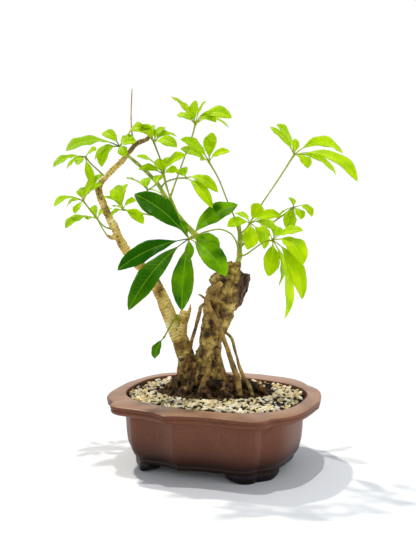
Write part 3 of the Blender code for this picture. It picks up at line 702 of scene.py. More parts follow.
def make_soil():
    soil = Shape()
    sides = [oval(a, b) for a, b, _ in SOIL_WALL]
    rings = [soil.ring(level(sides[k], SOIL_WALL[k][2]), strewn=0.0) for k in (4, 3, 2, 1)]
    well = oval_in_plant(HOLE_CENTRE, HOLE_RADIUS, HOLE_RADIUS, sides[0])
    for k in range(TOP_SPANS + 1):
        share = k / TOP_SPANS
        places = [crumbly(p, share) for p in ring_points(sides[1], well, share, 0.0)]
        rings.append(soil.ring(places, strewn=1.0 if CRUMBS_FROM < share < CRUMBS_TO else 0.0))
    rings.append(soil.ring(level(well, HOLE_FLOOR_Z), strewn=0.0))
    soil.wrap(rings)
    soil = soil.build("potting_soil", soil_material)
    return strew(soil, scatter_tree("soil crumbs", soil_material), Spacing=3.4, Smallest=0.5,
                 Largest=1.5, Roughness=1.2, Seed=3)


soil = make_soil()
hand_over(soil, "soil", "soil")

# %% [markdown]
# ## Bark
#
# One material serves the whole woody plant, because it all grew together. The old trunk is
# olive and brown with pits and pores, its dead wood is dark and fibrous, the slender trunk is
# pale with rings where leaves once grew, and the roots are brown. Each point of the wood carries
# how pale, how dead, how root-like and how earthy it is, with painted shade in the creases beside
# aerial roots, and how far along its limb it lies. The shader lays its colours over each other by
# those values. Bark is dry, so it hardly shines.

# %% Bark material
# For each bark: the value that shows it, lumps in mm, detail, scale along z, and colours.
BARKS = (
    (None, 3.6, 5.0, 1.0, ((0.34, "#3A2712"), (0.44, "#7C602C"), (0.53, "#A88C44"),
                           (0.62, "#CBAF5E"), (0.74, "#E6D08C"))),
    ("pale", 7.0, 5.0, 1.0, ((0.34, "#7C5E28"), (0.46, "#BC9C48"), (0.58, "#E0C46C"), (0.72, "#F4E4A4"))),
    ("root", 4.0, 4.0, 1.0, ((0.32, "#2C1B0D"), (0.46, "#62421F"), (0.58, "#946835"), (0.72, "#C49A58"))),
    ("dead", 2.5, 4.0, 0.18, ((0.36, "#1A0F0A"), (0.48, "#4B3226"), (0.60, "#765845"), (0.72, "#A48A70"))),
)
PORE_SPACING = 4.4
# The near black of earth, also used as painted shade in the creases beside aerial roots.
EARTH_AND_CREASE_SHADE = (0.008, 0.005, 0.003, 1.0)


def make_bark():
    made, tree, shader, here = new_material("umbrella tree bark", Roughness=0.82, IOR=1.45)
    value = {name: add(tree, "ShaderNodeAttribute", attribute_name=name).outputs["Fac"]
             for name in ("pale", "root", "dead", "along", "ringed", "earthy")}
    layers, patterns = [], []
    for name, size, detail, drawn_out, stops in BARKS:
        drawn = add(tree, "ShaderNodeMapping", {"Vector": here, "Scale": (1.0, 1.0, drawn_out)})
        patterns.append(add(tree, "ShaderNodeTexNoise", {"Vector": drawn, "Scale": lumps(size),
                                                         "Detail": detail}))
        paint = add(tree, "ShaderNodeValToRGB", {"Fac": patterns[-1]}, stops=stops)
        layers.append(("MIX", value.get(name, 1.0), paint))
    along = add(tree, "ShaderNodeMath", {0: value["along"]}, operation="FRACT")
    rings = add(tree, "ShaderNodeValToRGB", {"Fac": along},
                stops=((0.0, "#6B5530"), (0.18, "#FFFFFF"), (0.82, "#FFFFFF"), (1.0, "#6B5530")))
    ringed = add(tree, "ShaderNodeMath", {0: value["ringed"], 1: 0.4}, operation="MULTIPLY")
    pits = add(tree, "ShaderNodeTexNoise", {"Vector": here, "Scale": lumps(1.3), "Detail": 3.0})
    pitted = add(tree, "ShaderNodeValToRGB", {"Fac": pits}, stops=((0.30, "#4A3A28"), (0.42, "#FFFFFF")))
    cells = add(tree, "ShaderNodeTexVoronoi", {"Vector": here, "Scale": 1 / (PORE_SPACING * MM)})
    pores = add(tree, "ShaderNodeValToRGB", {"Fac": cells}, stops=((0.15, "#24160A"), (0.27, "#FFFFFF")))
    # Earth near the ground, and painted shade in the creases beside aerial roots, as one near black.
    layers += [("MULTIPLY", ringed, rings), ("MIX", value["earthy"], EARTH_AND_CREASE_SHADE),
               ("MULTIPLY", 0.8, pitted), ("MULTIPLY", 0.7, pores)]
    skin = layers[0][2]
    for mode, share, paint in layers[1:]:
        skin = add(tree, "ShaderNodeMix", {"Factor": share, "A": skin, "B": paint}, data_type="RGBA",
                   blend_type=mode)
    link(tree, skin, shader.inputs["Base Color"])
    fine = add(tree, "ShaderNodeBump", {"Strength": 0.9, "Distance": 0.9 * MM, "Height": pits})
    coarse = add(tree, "ShaderNodeBump", {"Strength": 0.8, "Distance": 1.8 * MM, "Height": patterns[0],
                                          "Normal": fine})
    link(tree, coarse, shader.inputs["Normal"])
    return made


bark = make_bark()

# %% [markdown]
# ## Trunks and roots
#
# Wood that grew together has no seams. Each limb is first a simple tube along its middle line.
# A voxel remesh then turns the overlapping tubes into one skin, as if they were clay pressed
# together, and noise raises the bark on it. Each limb's kind decides how rough it is.

# %% Limbs
# x, y, z and radius in mm along each middle line.
OLD_TRUNK = (
    (-9, 31, 48, 16), (-9, 31, 60, 16.5), (-9, 30, 72, 14.5), (-9, 30, 84, 13.6),
    (-8.5, 30, 94, 12.4), (-6.5, 30, 104, 11.2), (-5.4, 30, 114, 10.8), (-2.7, 30, 124, 11.6),
    (0.2, 30, 134, 13.6), (2.8, 30, 144, 15.4), (6.4, 30, 153, 17.2), (10.6, 30, 162, 17.6),
    (12.5, 29, 171, 17), (14, 28, 178, 13), (14.5, 28, 184, 7),
)
DEAD_WOOD = (
    ((19, 29, 152, 5), (23.5, 28, 162, 5.6), (26.6, 28, 171, 5.2), (28.2, 28, 178.5, 3.4)),
    ((22, 24, 160, 3), (25, 22.5, 169, 3), (28, 22, 177, 1.6)),
)
KNOBS = (
    ((8, 26, 163, 8), (2, 25, 170, 7), (-3.5, 24, 176, 4.6)),
    ((5, 22, 160, 5), (-1, 17, 168, 4.2), (-4.5, 16, 176, 3)),
    ((7, 30, 164, 7), (1, 27, 172, 6), (-4, 26, 178, 3.5)),
    ((14, 28, 176, 7), (13, 28, 184, 5.4), (11, 28, 190, 4)),
    ((6, 16, 140, 3), (9, 15.5, 150, 3.6), (15, 15, 158, 3)),
    ((-8, 22, 128, 4), (-9, 21, 136, 4.4), (-7, 22, 142, 3)),
    ((-14, 22, 86, 5), (-18, 20, 78, 5), (-22, 19, 70, 4)),
)
LEFT_TRUNK = (
    (-27, 36, 58, 11.5), (-28.5, 36, 76, 10), (-28.5, 36, 90, 9), (-31.4, 36, 102, 8.6),
    (-35, 36, 112, 8.2), (-39.6, 37, 122, 7.6), (-44, 37, 132, 6.8), (-47.5, 37, 142, 6.6),
    (-51.7, 38, 152, 6.3), (-56, 38, 161, 6), (-61.2, 38, 171, 5.8), (-68.5, 38, 180, 5.4),
    (-77.5, 38, 189, 5), (-87, 39, 200, 4.6), (-92.8, 39, 210, 4.3), (-97, 39, 220, 4.1),
    (-102.2, 39, 230, 3.9), (-108, 40, 243, 3.6), (-112, 40, 254, 3.4), (-112, 40, 262, 3.3),
    (-106, 40, 270, 3.1), (-97, 40, 279, 2.8), (-87, 40, 289, 2.5), (-79, 40, 299, 2.3),
    (-74, 40, 303, 2.4), (-65, 40, 307, 2.0), (-60, 40, 316, 1.5),
)
STUB = ((-36, 35, 110, 6.2), (-34.2, 34.5, 121, 6), (-32.2, 34, 131, 5.2), (-29.6, 34, 141, 5))
STUB_SPLINTER = ((-29, 33, 136, 2.2), (-26, 33, 142, 1.6), (-24.8, 33, 148, 0.8))
SIDE_TWIGS = (
    ((-97, 39, 214, 2.6), (-101, 41, 212, 2.0), (-105, 43, 214, 1.4)),
    ((-54, 37, 158, 2.4), (-58, 33, 160, 1.8)),
)
AERIAL_ROOTS = (
    ((5, 12, 172, 2.6), (-2.3, 9, 168, 2.6), (-8, 7.5, 161, 2.6), (-9.4, 8, 155, 2.6),
     (-6, 7, 148, 2.5), (-1.9, 8, 140, 2.5), (2.9, 10, 129, 2.5), (6.3, 11.5, 120, 2.4),
     (10.1, 12, 110, 2.4), (13, 11, 101, 2.5), (16, 10, 92, 2.7), (19.7, 9, 82, 2.9),
     (21.6, 8, 71, 3), (23, 7, 58, 3)),
    ((-8, 17, 152, 2.2), (-14.6, 14.5, 149, 2), (-16, 15, 143, 1.9), (-18, 17, 135, 1.8),
     (-20.5, 20, 125, 1.8), (-23.4, 25, 115, 1.9), (-26, 31, 102, 2.4)),
    ((5, 22, 125, 1.8), (12, 17, 121, 1.6), (15.4, 16, 116, 1.6), (17.3, 16, 108, 1.6),
     (19.7, 15, 100, 1.6), (22, 14, 91, 1.7), (26, 12, 82, 1.8), (32, 8, 72, 2),
     (36, 4, 58, 2)),
    ((1, 21, 106, 2.4), (4, 18.5, 94, 2.4), (8, 16, 80, 2.6), (11, 12, 68, 2.8), (11, 9, 56, 3)),
    ((-6, 18, 96, 2.6), (-9, 13, 84, 2.6), (-14, 9, 72, 2.8), (-19, 5, 58, 3)),
)
SURFACE_ROOTS = (
    ((-6, 22, 74, 6), (6, 16, 71, 4.6), (18, 13, 69, 4.0), (27, 12, 63, 3.0)),
    ((0, 34, 76, 6), (16, 27, 73, 5.2), (32, 22, 69, 4.6), (46, 14, 63, 3.6), (53, 9, 56, 2.6)),
    ((-10, 20, 74, 6), (-12, 8, 70, 4.4), (-8, -2, 65, 3.2), (-5, -8, 58, 2.6)),
    ((-18, 24, 76, 6), (-28, 12, 70, 4.0), (-37, 6, 65, 3.0), (-44, 2, 57, 2.4)),
    ((-30, 34, 78, 6), (-43, 30, 70, 4.0), (-50, 26, 55, 2.6)),
    ((-30, 40, 76, 6), (-38, 42, 69, 4.0), (-42, 43, 55, 2.6)),
    ((-10, 40, 74, 7), (-11, 47, 69, 4.6), (-9, 52, 56, 2.8)),
    ((4, 38, 74, 6), (17, 43, 70, 4.4), (28, 46, 56, 2.8)),
    ((-4, 22, 72, 5), (4, 6, 70, 3.2), (14, -2, 65, 2.6), (20, -7, 58, 2.2)),
    ((-16, 16, 80, 3), (-4, 12, 75.5, 4), (9, 11, 74, 4.2), (20, 14, 72, 2.6)),
    ((-27, 29, 99, 2), (-23, 26, 90, 4.4), (-20, 22, 80, 5.4), (-22, 16, 68, 4)),
    ((-30, 28, 92, 2.2), (-35, 20, 82, 2.6), (-38, 13, 72, 2.8), (-43, 8, 62, 2)),
    ((26, 16, 76, 2.4), (33, 14, 73.5, 3.2), (41, 12, 70, 3), (48, 10, 64, 2)),
)
DEAD_STALK = ((-79, 40, 298, 1.0), (-81, 41, 324, 0.65), (-80, 42, 353.5, 0.45))
SPROUT = ((-6, 20, 152, 1.4), (-11, 14, 157, 1.2), (-15, 11, 160.5, 1.0), (-17, 10, 161.5, 0.6))
COLLARS = (((13, 24, 178, 4.2), (4, 19, 192, 4.0)), ((18, 27, 176, 4.2), (21, 26, 190.6, 3.6)))

print("limbs:", 2 + len(DEAD_WOOD) + len(KNOBS) + len(AERIAL_ROOTS) + len(SURFACE_ROOTS))

# %% [markdown]
# A limb's middle line is smoothed first, and rings of points are then set square to it. Each
# ring is turned as little as possible against the one before, so the tube never twists.

# %% A tube along a middle line


def frames_along(places):
    """For each place, the way on and two ways across, turned as little as possible."""
    side, out = None, []
    for i, place in enumerate(places):
        ahead = (places[min(i + 1, len(places) - 1)] - places[max(i - 1, 0)]).normalized()
        if side is None:
            side = ahead.orthogonal().normalized()
        side = (side - ahead * side.dot(ahead)).normalized()
        out.append((place, ahead, side, ahead.cross(side)))
    return out


def add_tube(shape, places, radii, sides, **values):
    """Adds a closed round tube. Radii are in mm, places in the scene's metres."""
    rings = []
    for k, ((place, _, side, front), radius) in enumerate(zip(frames_along(places), radii)):
        spokes = [side * math.cos(2 * math.pi * i / sides) + front * math.sin(2 * math.pi * i / sides)
                  for i in range(sides)]
        here = {name: value[k] if isinstance(value, list) else value for name, value in values.items()}
        rings.append(shape.ring([place + spoke * radius * MM for spoke in spokes], **here))
    shape.wrap(rings)


def limb_line(stations, steps):
    """The smoothed middle line of a limb in the scene, and its radii in mm."""
    places = smooth([plant(s[:3]) for s in stations], steps)
    radii = [r.x for r in smooth([(s[3], 0.0, 0.0) for s in stations], steps)]
    return places, radii


print("tube helper ready")

# %% [markdown]
# Each limb has a kind, which says how its bark looks and how rough it is. All the limbs become
# overlapping tubes in one mesh, and the places along them are noted with their kinds, so that
# every point of the finished skin can ask which limb it belongs to. Surface roots also wander
# from their line. That noise would differ from run to run, so its seed is fixed.

# %% The limbs as tubes
WANDER, WANDER_SIZE = 4.0, 8.0
WANDER_SEED = 1795816395
UNEVEN, ROOT_UNEVEN, UNEVEN_SIZE = 0.10, 0.28, 6.0
# Dead fibre spreads this far over the living bark beside it, in mm.
DEAD_SPREAD = 5.5
# For each kind of limb: pale, dead, root and ringed, how rough, and how far apart its rings are.
KINDS = {
    "old": (0.0, 0.0, 0.0, 0.25, 1.5, 2.6), "dead": (0.0, 1.0, 0.0, 0.0, 1.2, 9.0),
    "knob": (0.0, 0.22, 0.0, 0.0, 1.5, 9.0), "slender": (1.0, 0.0, 0.0, 1.0, 0.6, 3.0),
    "aerial": (0.9, 0.0, 0.62, 0.0, 0.35, 9.0), "surface": (0.0, 0.0, 1.0, 0.0, 1.9, 9.0),
}
GROUPS = (
    ("old", (OLD_TRUNK,)), ("dead", DEAD_WOOD), ("knob", KNOBS),
    ("slender", (LEFT_TRUNK, STUB, STUB_SPLINTER) + SIDE_TWIGS), ("aerial", AERIAL_ROOTS),
    ("surface", SURFACE_ROOTS), ("old", COLLARS),
)


def rough_limbs():
    """All the limbs as overlapping tubes, and a list of places with each one's kind."""
    noise.seed_set(WANDER_SEED)
    skin, marks = Shape(), []
    for kind, limbs in GROUPS:
        for stations in limbs:
            places, radii = limb_line(stations, 4)
            if kind == "surface":
                places = [p + WANDER * MM * noise.noise_vector(p / (WANDER_SIZE * MM)) * min(1, k / 4)
                          for k, p in enumerate(places)]
            run = 0.0
            for k, ((place, ahead, _, _), radius) in enumerate(zip(frames_along(places), radii)):
                run += (place - places[k - 1]).length if k else 0.0
                reach = radius + (DEAD_SPREAD if kind == "dead" else 0.0)
                marks.append((place, reach, kind, run, ahead))
            uneven = ROOT_UNEVEN if kind == "surface" else UNEVEN
            swollen = [r * (1 + uneven * noise.noise(p / (UNEVEN_SIZE * MM)))
                       for p, r in zip(places, radii)]
            add_tube(skin, places, swollen, 20)
    return skin, marks


print("kinds of limb:", ", ".join(KINDS))

# %% [markdown]
# Noise raises the bark: lumps, cracks that run up the stem, grit, fibre on the dead wood, and the
# rings that old leaf stalks left, which are deepest low down on the old trunk.

# %% Bark relief
# Sizes in mm of the bark's lumps, cracks, grit and fibre, and of the rings' wandering.
LUMP, CRACK, GRIT, FIBRE, RING_WANDER = 11.0, 3.2, 1.8, 1.9, 5.0
WRINKLES_BELOW = 112


def bark_relief(place, kind, rough, run):
    """How far the bark stands out, in mm, from lumps, cracks and rings."""
    lump = noise.fractal(place / (LUMP * MM), 0.9, 2.1, 4)
    crack = abs(noise.noise(Vector((place.x, place.y, place.z * 0.35)) / (CRACK * MM)))
    grit = noise.noise(place / (GRIT * MM))
    height = rough * (0.9 * lump + 0.25 * grit - 0.9 * max(0.0, 0.22 - crack) * 3)
    if kind == "dead":
        height += 0.9 * noise.noise(Vector((place.x, place.y, place.z * 0.16)) / (FIBRE * MM))
    if kind in ("slender", "old"):
        phase = run / (KINDS[kind][5] * MM) + 0.5 * noise.noise(place / (RING_WANDER * MM))
        deep = 0.15 if kind == "slender" else 0.08 + 0.3 * (place.z < WRINKLES_BELOW * MM)
        height += deep * math.cos(phase * 2 * math.pi)
    return height


print("relief ready")

# %% [markdown]
# The voxel remesh makes one skin of all the tubes. Each of its points takes its values from the
# limb whose surface is nearest. Points near the ground are earthy, and those in the crease where
# an aerial root lies against the trunk get the same dark colour as painted shade. Then each point
# moves out by its relief.

# %% One skin over all the limbs
VOXEL = 0.8
NEAR_PLACES = 40
# Heights in mm below which each kind of limb is earthy, and over how many mm that fades.
EARTHY_BELOW = {"slender": 110, "surface": 92}
OTHERS_EARTHY_BELOW, EARTHY_FADE = 80, 14
DRY_ABOVE = 291
# Painted shade darkens the crease where an aerial root lies against the trunk: its width in mm,
# and how strong it is.
CREASE, CREASE_SHADE = 2.6, 0.9


def nearest_limb(tree, marks, place):
    """The nearest limb's kind, how far along it the place lies, and how far off an aerial root is."""
    gaps = [(hit[2] - marks[hit[1]][1] * MM, hit[1]) for hit in tree.find_n(place, NEAR_PLACES)]
    middle, _, kind, run, ahead = marks[min(gaps)[1]]
    beside = min((gap for gap, i in gaps if marks[i][2] == "aerial"), default=1.0)
    return kind, run + (place - middle).dot(ahead), beside


def make_wood():
    skin, marks = rough_limbs()
    wood = skin.build("trunks_and_roots", bark)
    step = wood.modifiers.new("one skin", "REMESH")
    step.mode, step.voxel_size = "VOXEL", VOXEL * MM
    finished(wood)
    tree = kdtree.KDTree(len(marks))
    for i, mark in enumerate(marks):
        tree.insert(mark[0], i)
    tree.balance()
    data, columns = wood.data, {name: [] for name in ("pale", "dead", "root", "ringed", "along", "earthy")}
    moved = []
    for vert in data.vertices:
        kind, run, beside = nearest_limb(tree, marks, vert.co)
        pale, dead, root, ringed, rough, gap = KINDS[kind]
        earthy_below = EARTHY_BELOW.get(kind, OTHERS_EARTHY_BELOW)
        earthy = min(1.0, max(0.0, (earthy_below * MM - vert.co.z) / (EARTHY_FADE * MM)))
        if kind == "slender" and vert.co.z > DRY_ABOVE * MM:
            pale, dead = 0.2, 0.5
        earthy *= 0.55 + 1.1 * noise.noise(vert.co / (4 * MM))
        # Painted shade in the crease beside an aerial root.
        if kind in ("old", "knob"):
            earthy = max(earthy, CREASE_SHADE * (1 - beside / (CREASE * MM)))
        for name, value in zip(columns, (pale, dead, root, ringed, run / (gap * MM), max(0.0, earthy))):
            columns[name].append(value)
        moved.append(vert.co + vert.normal * bark_relief(vert.co, kind, rough, run) * MM)
    data.vertices.foreach_set("co", [c for p in moved for c in p])
    for name, column in columns.items():
        data.attributes.new(name, "FLOAT", "POINT").data.foreach_set("value", column)
    data.polygons.foreach_set("use_smooth", [True] * len(data.polygons))
    return wood


wood = make_wood()
print("skin:", len(wood.data.vertices), "points")

# %% [markdown]
# The dry stalk and the sprout are too thin for the remesh, so they are plain tubes that start
# inside the wood. They are joined to it, because they grew from it.

# %% Thin shoots of the wood


def make_thin_wood():
    thin = Shape()
    for stations, pale in ((DEAD_STALK, 0.9), (SPROUT, 1.0)):
        places, radii = limb_line(stations, 8)
        add_tube(thin, places, radii, 10, pale=pale, root=0.0, dead=0.0, ringed=0.0, along=0.5, earthy=0.0)
    return thin.build("thin_wood", bark)


def joined(name, objects):
    """One object of all the meshes, which keeps their values."""
    with bpy.context.temp_override(active_object=objects[0], selected_editable_objects=objects):
        bpy.ops.object.join()
    objects[0].name = objects[0].data.name = name
    return objects[0]


wood = joined("trunks_and_roots", [wood, make_thin_wood()])
hand_over(wood, "bark", "trunk")

# %% [markdown]
# Hair roots run over the mound in a tangle. Each is a short random walk along the ground from a
# place near the root base, seeded so that every run gives the same tangle.

# %% Hair roots
HAIR_ROOTS = 420
# All in mm: how far from the root base a hair starts, its stride, height and thickness.
HAIR_FROM, HAIR_TO = 8, 34
STRIDE_X, STRIDE_Y = 2.6, 2.2
HAIR_HEIGHT = 9
THINNEST, THICKEST = 0.3, 0.85
ROOT_BASE = (-8, 29)


def make_hair_roots():
    draw = random.Random(21)
    hairs = Shape()
    for _ in range(HAIR_ROOTS):
        angle, reach = draw.uniform(0, 2 * math.pi), draw.uniform(HAIR_FROM, HAIR_TO)
        x = ROOT_BASE[0] + reach * 1.35 * math.cos(angle)
        y = ROOT_BASE[1] + reach * 0.9 * math.sin(angle)
        heading = angle + draw.uniform(-1.0, 1.0)
        height, places = draw.uniform(0, HAIR_HEIGHT) * (1 - reach / 36), []
        for k in range(draw.randint(7, 12)):
            places.append(plant((x, y, 0)))
            base = ground((places[-1].x - POT_X) / MM, (places[-1].y - POT_Y) / MM)
            places[-1].z = (base + 0.7 + height * (1 - k / 12) + draw.uniform(-0.4, 0.9)) * MM
            heading += draw.uniform(-0.55, 0.55)
            x, y = x + STRIDE_X * math.cos(heading), y + STRIDE_Y * math.sin(heading)
            height *= 0.8
        line = smooth(places, 2)
        thick = draw.uniform(THINNEST, THICKEST)
        radii = [thick * (1 - 0.6 * k / len(line)) for k in range(len(line))]
        shade = draw.random()
        add_tube(hairs, line, radii, 5, pale=0.0, root=1.0, dead=0.3 * shade, ringed=0.0, along=0.5,
                 earthy=0.7 * shade)
    return hairs.build("hair_roots", bark)


hair_roots = make_hair_roots()
hand_over(hair_roots, "bark")

# %% [markdown]
# ## Living green
#
# A leaf is thin and waxy. Its upper face has a clear sheen, its underside is paler and dull, and
# light passes through both, so young leaves glow yellow-green when the sun stands behind them.
# Subsurface scattering with a depth of about a millimetre gives that glow. Veins run from the
# midrib to the margin, raised as bump, with the midrib itself modelled in the blade. The colours
# are laid over each other: the blade, its age with painted shade on the leaf's left side, its
# veins, its rib, its underside and the stalk.

# %% Leaf material
GLOW_DEPTH = 1.2
VEIN_STRENGTH = 0.08


def make_leaf_material(name, young, old, under, rib, gloss, glow, shine):
    """A leaf's colours when young, when old, below and on its ribs, and how it takes light."""
    made, tree, shader, here = new_material(name, Roughness=gloss, IOR=1.35, Subsurface_Weight=glow,
                                            Subsurface_Radius=(0.7, 1.0, 0.15),
                                            Subsurface_Scale=GLOW_DEPTH * MM, Specular_IOR_Level=shine)
    value = {key: add(tree, "ShaderNodeAttribute", attribute_name=key).outputs["Fac"]
             for key in ("age", "vein", "from_rib", "underside", "stalk")}
    patchy = add(tree, "ShaderNodeTexNoise", {"Vector": here, "Scale": lumps(9), "Detail": 3.0})
    blade = add(tree, "ShaderNodeValToRGB", {"Fac": patchy}, stops=((0.3, old), (0.7, young)))
    vein = add(tree, "ShaderNodeMath", {0: value["vein"]}, operation="FRACT")
    lines = add(tree, "ShaderNodeValToRGB", {"Fac": vein},
                stops=((0.0, "#FFFFFF"), (0.13, "#000000"), (0.87, "#000000"), (1.0, "#FFFFFF")))
    drawn = add(tree, "ShaderNodeMath", {0: lines, 1: VEIN_STRENGTH}, operation="MULTIPLY")
    middle = add(tree, "ShaderNodeValToRGB", {"Fac": value["from_rib"]},
                 stops=((0.0, "#B4B4B4"), (0.25, "#B4B4B4"), (0.6, "#000000")))
    below = add(tree, "ShaderNodeMix", {"Factor": middle, "A": colour(under), "B": colour(rib)},
                data_type="RGBA")
    stalk = add(tree, "ShaderNodeMix", {"Factor": value["age"], "A": colour("#A8B32C"),
                                        "B": colour("#3F6418")}, data_type="RGBA")
    skin = blade
    for share, paint in ((value["age"], colour(old)), (drawn, colour(rib)), (middle, colour(rib)),
                         (value["underside"], below), (value["stalk"], stalk)):
        skin = add(tree, "ShaderNodeMix", {"Factor": share, "A": skin, "B": paint}, data_type="RGBA")
    link(tree, skin, shader.inputs["Base Color"])
    veins = add(tree, "ShaderNodeBump", {"Strength": 0.35, "Distance": 0.4 * MM, "Height": lines})
    cells = add(tree, "ShaderNodeTexNoise", {"Vector": here, "Scale": lumps(1.2), "Detail": 2.0})
    waxy = add(tree, "ShaderNodeBump", {"Strength": 0.12, "Distance": 0.3 * MM, "Height": cells,
                                        "Normal": veins})
    link(tree, waxy, shader.inputs["Normal"])
    return made


young_leaf = make_leaf_material("young umbrella tree leaf", "#C2E000", "#90B800", "#B0CC04", "#D8EA18",
                                0.40, 0.4, 0.10)
mature_leaf = make_leaf_material("mature umbrella tree leaf", "#86BE00", "#1E5800", "#86AC24", "#8CC018",
                                 0.28, 0.2, 0.10)

# %% [markdown]
# ## Leaflets
#
# A leaflet starts as a thin round stalk and widens into a blade that is folded along its midrib,
# arched from base to tip, and wavy at its margin. One ring of points, carried along the arch,
# changes from a circle to a thin lens with a keel under its middle.

# %% The blade's form
PLANT_MIDDLE = Vector((0.0, 28.0, 0.0))
FACE_TILT = 0.75
STALKLET = 0.14
STALKLET_RADIUS = 0.55
BLADE_WIDTHS = ((0.0, 0.0), (0.10, 0.26), (0.25, 0.62), (0.42, 0.90), (0.57, 1.0), (0.72, 0.90),
                (0.85, 0.62), (0.94, 0.32), (1.0, 0.0))
ACROSS = 5
STATIONS = 22
# All in mm: the blade's thickness, and the depth and half width of its groove and keel.
THICKNESS = 0.42
GROOVE, GROOVE_HALF = 0.16, 0.7
KEEL, KEEL_HALF = 0.34, 0.55
# Shares: how much thinner the margin is, and how far it curls and waves for its half width.
EDGE_THINNING = 0.85
CURL, WAVE = 0.10, 0.10


def width_share(u):
    """Half width of a blade at u from its base to its tip, as a share of the widest."""
    for (a, low), (b, high) in zip(BLADE_WIDTHS, BLADE_WIDTHS[1:]):
        if u <= b:
            t = (u - a) / (b - a)
            return low + (high - low) * (t * t * (3 - 2 * t) * 0.35 + t * 0.65)
    return 0.0


def directions(hub, tip):
    """The way a leaflet arches, and the way its upper face looks."""
    along = (tip - hub).normalized()
    out = Vector((hub.x - PLANT_MIDDLE.x, hub.y - PLANT_MIDDLE.y, 0.0)).normalized()
    rise = Vector((0, 0, 1)) + out * 0.45
    rise = (rise - along * rise.dot(along)).normalized()
    face = rise + Vector((0, -FACE_TILT, 0))
    return rise, (face - along * face.dot(along)).normalized()


def lens(half, fold, phase):
    """A blade's cross section: places across and out of the blade, in mm."""
    upper, lower = [], []
    for k in range(-ACROSS, ACROSS + 1):
        s = k / ACROSS
        lift = half * (fold * abs(s) - CURL * s * s) + half * WAVE * math.sin(phase) * s * s
        groove = GROOVE * math.exp(-(s * half / GROOVE_HALF) ** 2)
        keel = KEEL * math.exp(-(s * half / KEEL_HALF) ** 2)
        thick = THICKNESS / 2 * (1 - abs(s) ** 3 * EDGE_THINNING)
        upper.append((s * half, lift + thick - groove))
        if abs(k) < ACROSS:
            lower.append((s * half, lift - thick - keel))
    return upper + lower[::-1]


print("points round a blade:", len(lens(5.0, 0.3, 0.0)))

# %% [markdown]
# The leaflet's middle line is a curve from the hub to its tip, bent up by its arch. At each
# station the cross section is set square to it. Its points carry how far along the leaflet and
# how far from the rib they lie, from which the material draws the veins.

# %% A leaflet
# Shares of the given width that half a blade takes, and of its length in which it widens.
HALF_SHARE, BLADE_START = 0.54, 0.10
# How veins slant, and their spacing in mm.
VEIN_SLANT, VEIN_SPACING = 0.75, 4.2
# How far ages differ, and how many mm of reach to the left make a leaflet one age darker, as
# painted shade on each leaf's left side.
AGE_SPREAD, LEFT_SHADE_REACH = 0.2, 110


def add_leaflet(shape, hub, offset, width, arch, age, draw):
    """Adds a leaflet from the hub to hub + offset, all in the plant's mm."""
    hub = Vector(hub)
    tip = hub + Vector(offset)
    rise, up = directions(hub, tip)
    knee = (hub + tip) / 2 + rise * arch * 2
    length, phase = (tip - hub).length, draw.uniform(0, FULL_TURN)
    waves, fold, bend = draw.uniform(2.0, 3.4), draw.uniform(0.20, 0.34), draw.uniform(-0.05, 0.05)
    # A leaflet's age, darkened as painted shade the further it reaches to the left.
    old = age + draw.uniform(-AGE_SPREAD, AGE_SPREAD) - offset[0] / LEFT_SHADE_REACH
    old = min(1.0, max(0.0, old))
    rings = []
    for k in range(STATIONS):
        t = k / STATIONS
        t = t * (1.15 - 0.15 * t)
        middle = hub * (1 - t) ** 2 + knee * 2 * t * (1 - t) + tip * t ** 2
        ahead = ((knee - hub) * (1 - t) + (tip - knee) * t).normalized()
        side = ahead.cross(up).normalized()
        top = side.cross(ahead).normalized()
        u = max(0.0, (t - STALKLET) / (1 - STALKLET))
        half = max(width * HALF_SHARE * width_share(u), STALKLET_RADIUS)
        blade = min(1.0, u / BLADE_START)
        section = lens(half, fold, phase + t * waves * FULL_TURN)
        middle = middle + side * width * bend * math.sin(u * math.pi)
        places, ribs, veins = [], [], []
        for i, (x, z) in enumerate(section):
            angle = math.pi * (1 - i / (2 * ACROSS)) if i <= 2 * ACROSS else -math.pi * (
                (i - 2 * ACROSS) / (2 * ACROSS))
            round_x, round_z = STALKLET_RADIUS * math.cos(angle), STALKLET_RADIUS * math.sin(angle)
            x, z = round_x + (x - round_x) * blade, round_z + (z - round_z) * blade
            places.append(plant(middle + side * x + top * z))
            ribs.append(abs(x))
            veins.append((t * length - VEIN_SLANT * abs(x)) / VEIN_SPACING)
        rings.append(shape.ring(places, stalk=1.0 - blade, from_rib=ribs, vein=veins, age=old))
    marks = [0.0] * (2 * ACROSS) + [1.0] * (2 * ACROSS)
    for low, high in zip(rings, rings[1:]):
        shape.join(low, high, marks)
    end = shape.ring([plant(tip)], stalk=0.0, from_rib=0.0, vein=0.5, age=old)[0]
    last = rings[-1]
    for i in range(len(last)):
        shape.faces.append((last[i], last[(i + 1) % len(last)], end))
        shape.marks.append(marks[i])
    shape.close(rings[0])


print("leaflet ready")

# %% [markdown]
# ## Leaves
#
# Each leaf has a long stalk, swollen at its foot where it clasps the stem, and at its hub. The
# table gives the stalk's route, the hub, and each leaflet's tip as seen from the hub, its width
# and the height of its arch. The large front leaf and the low one are mature and dark.

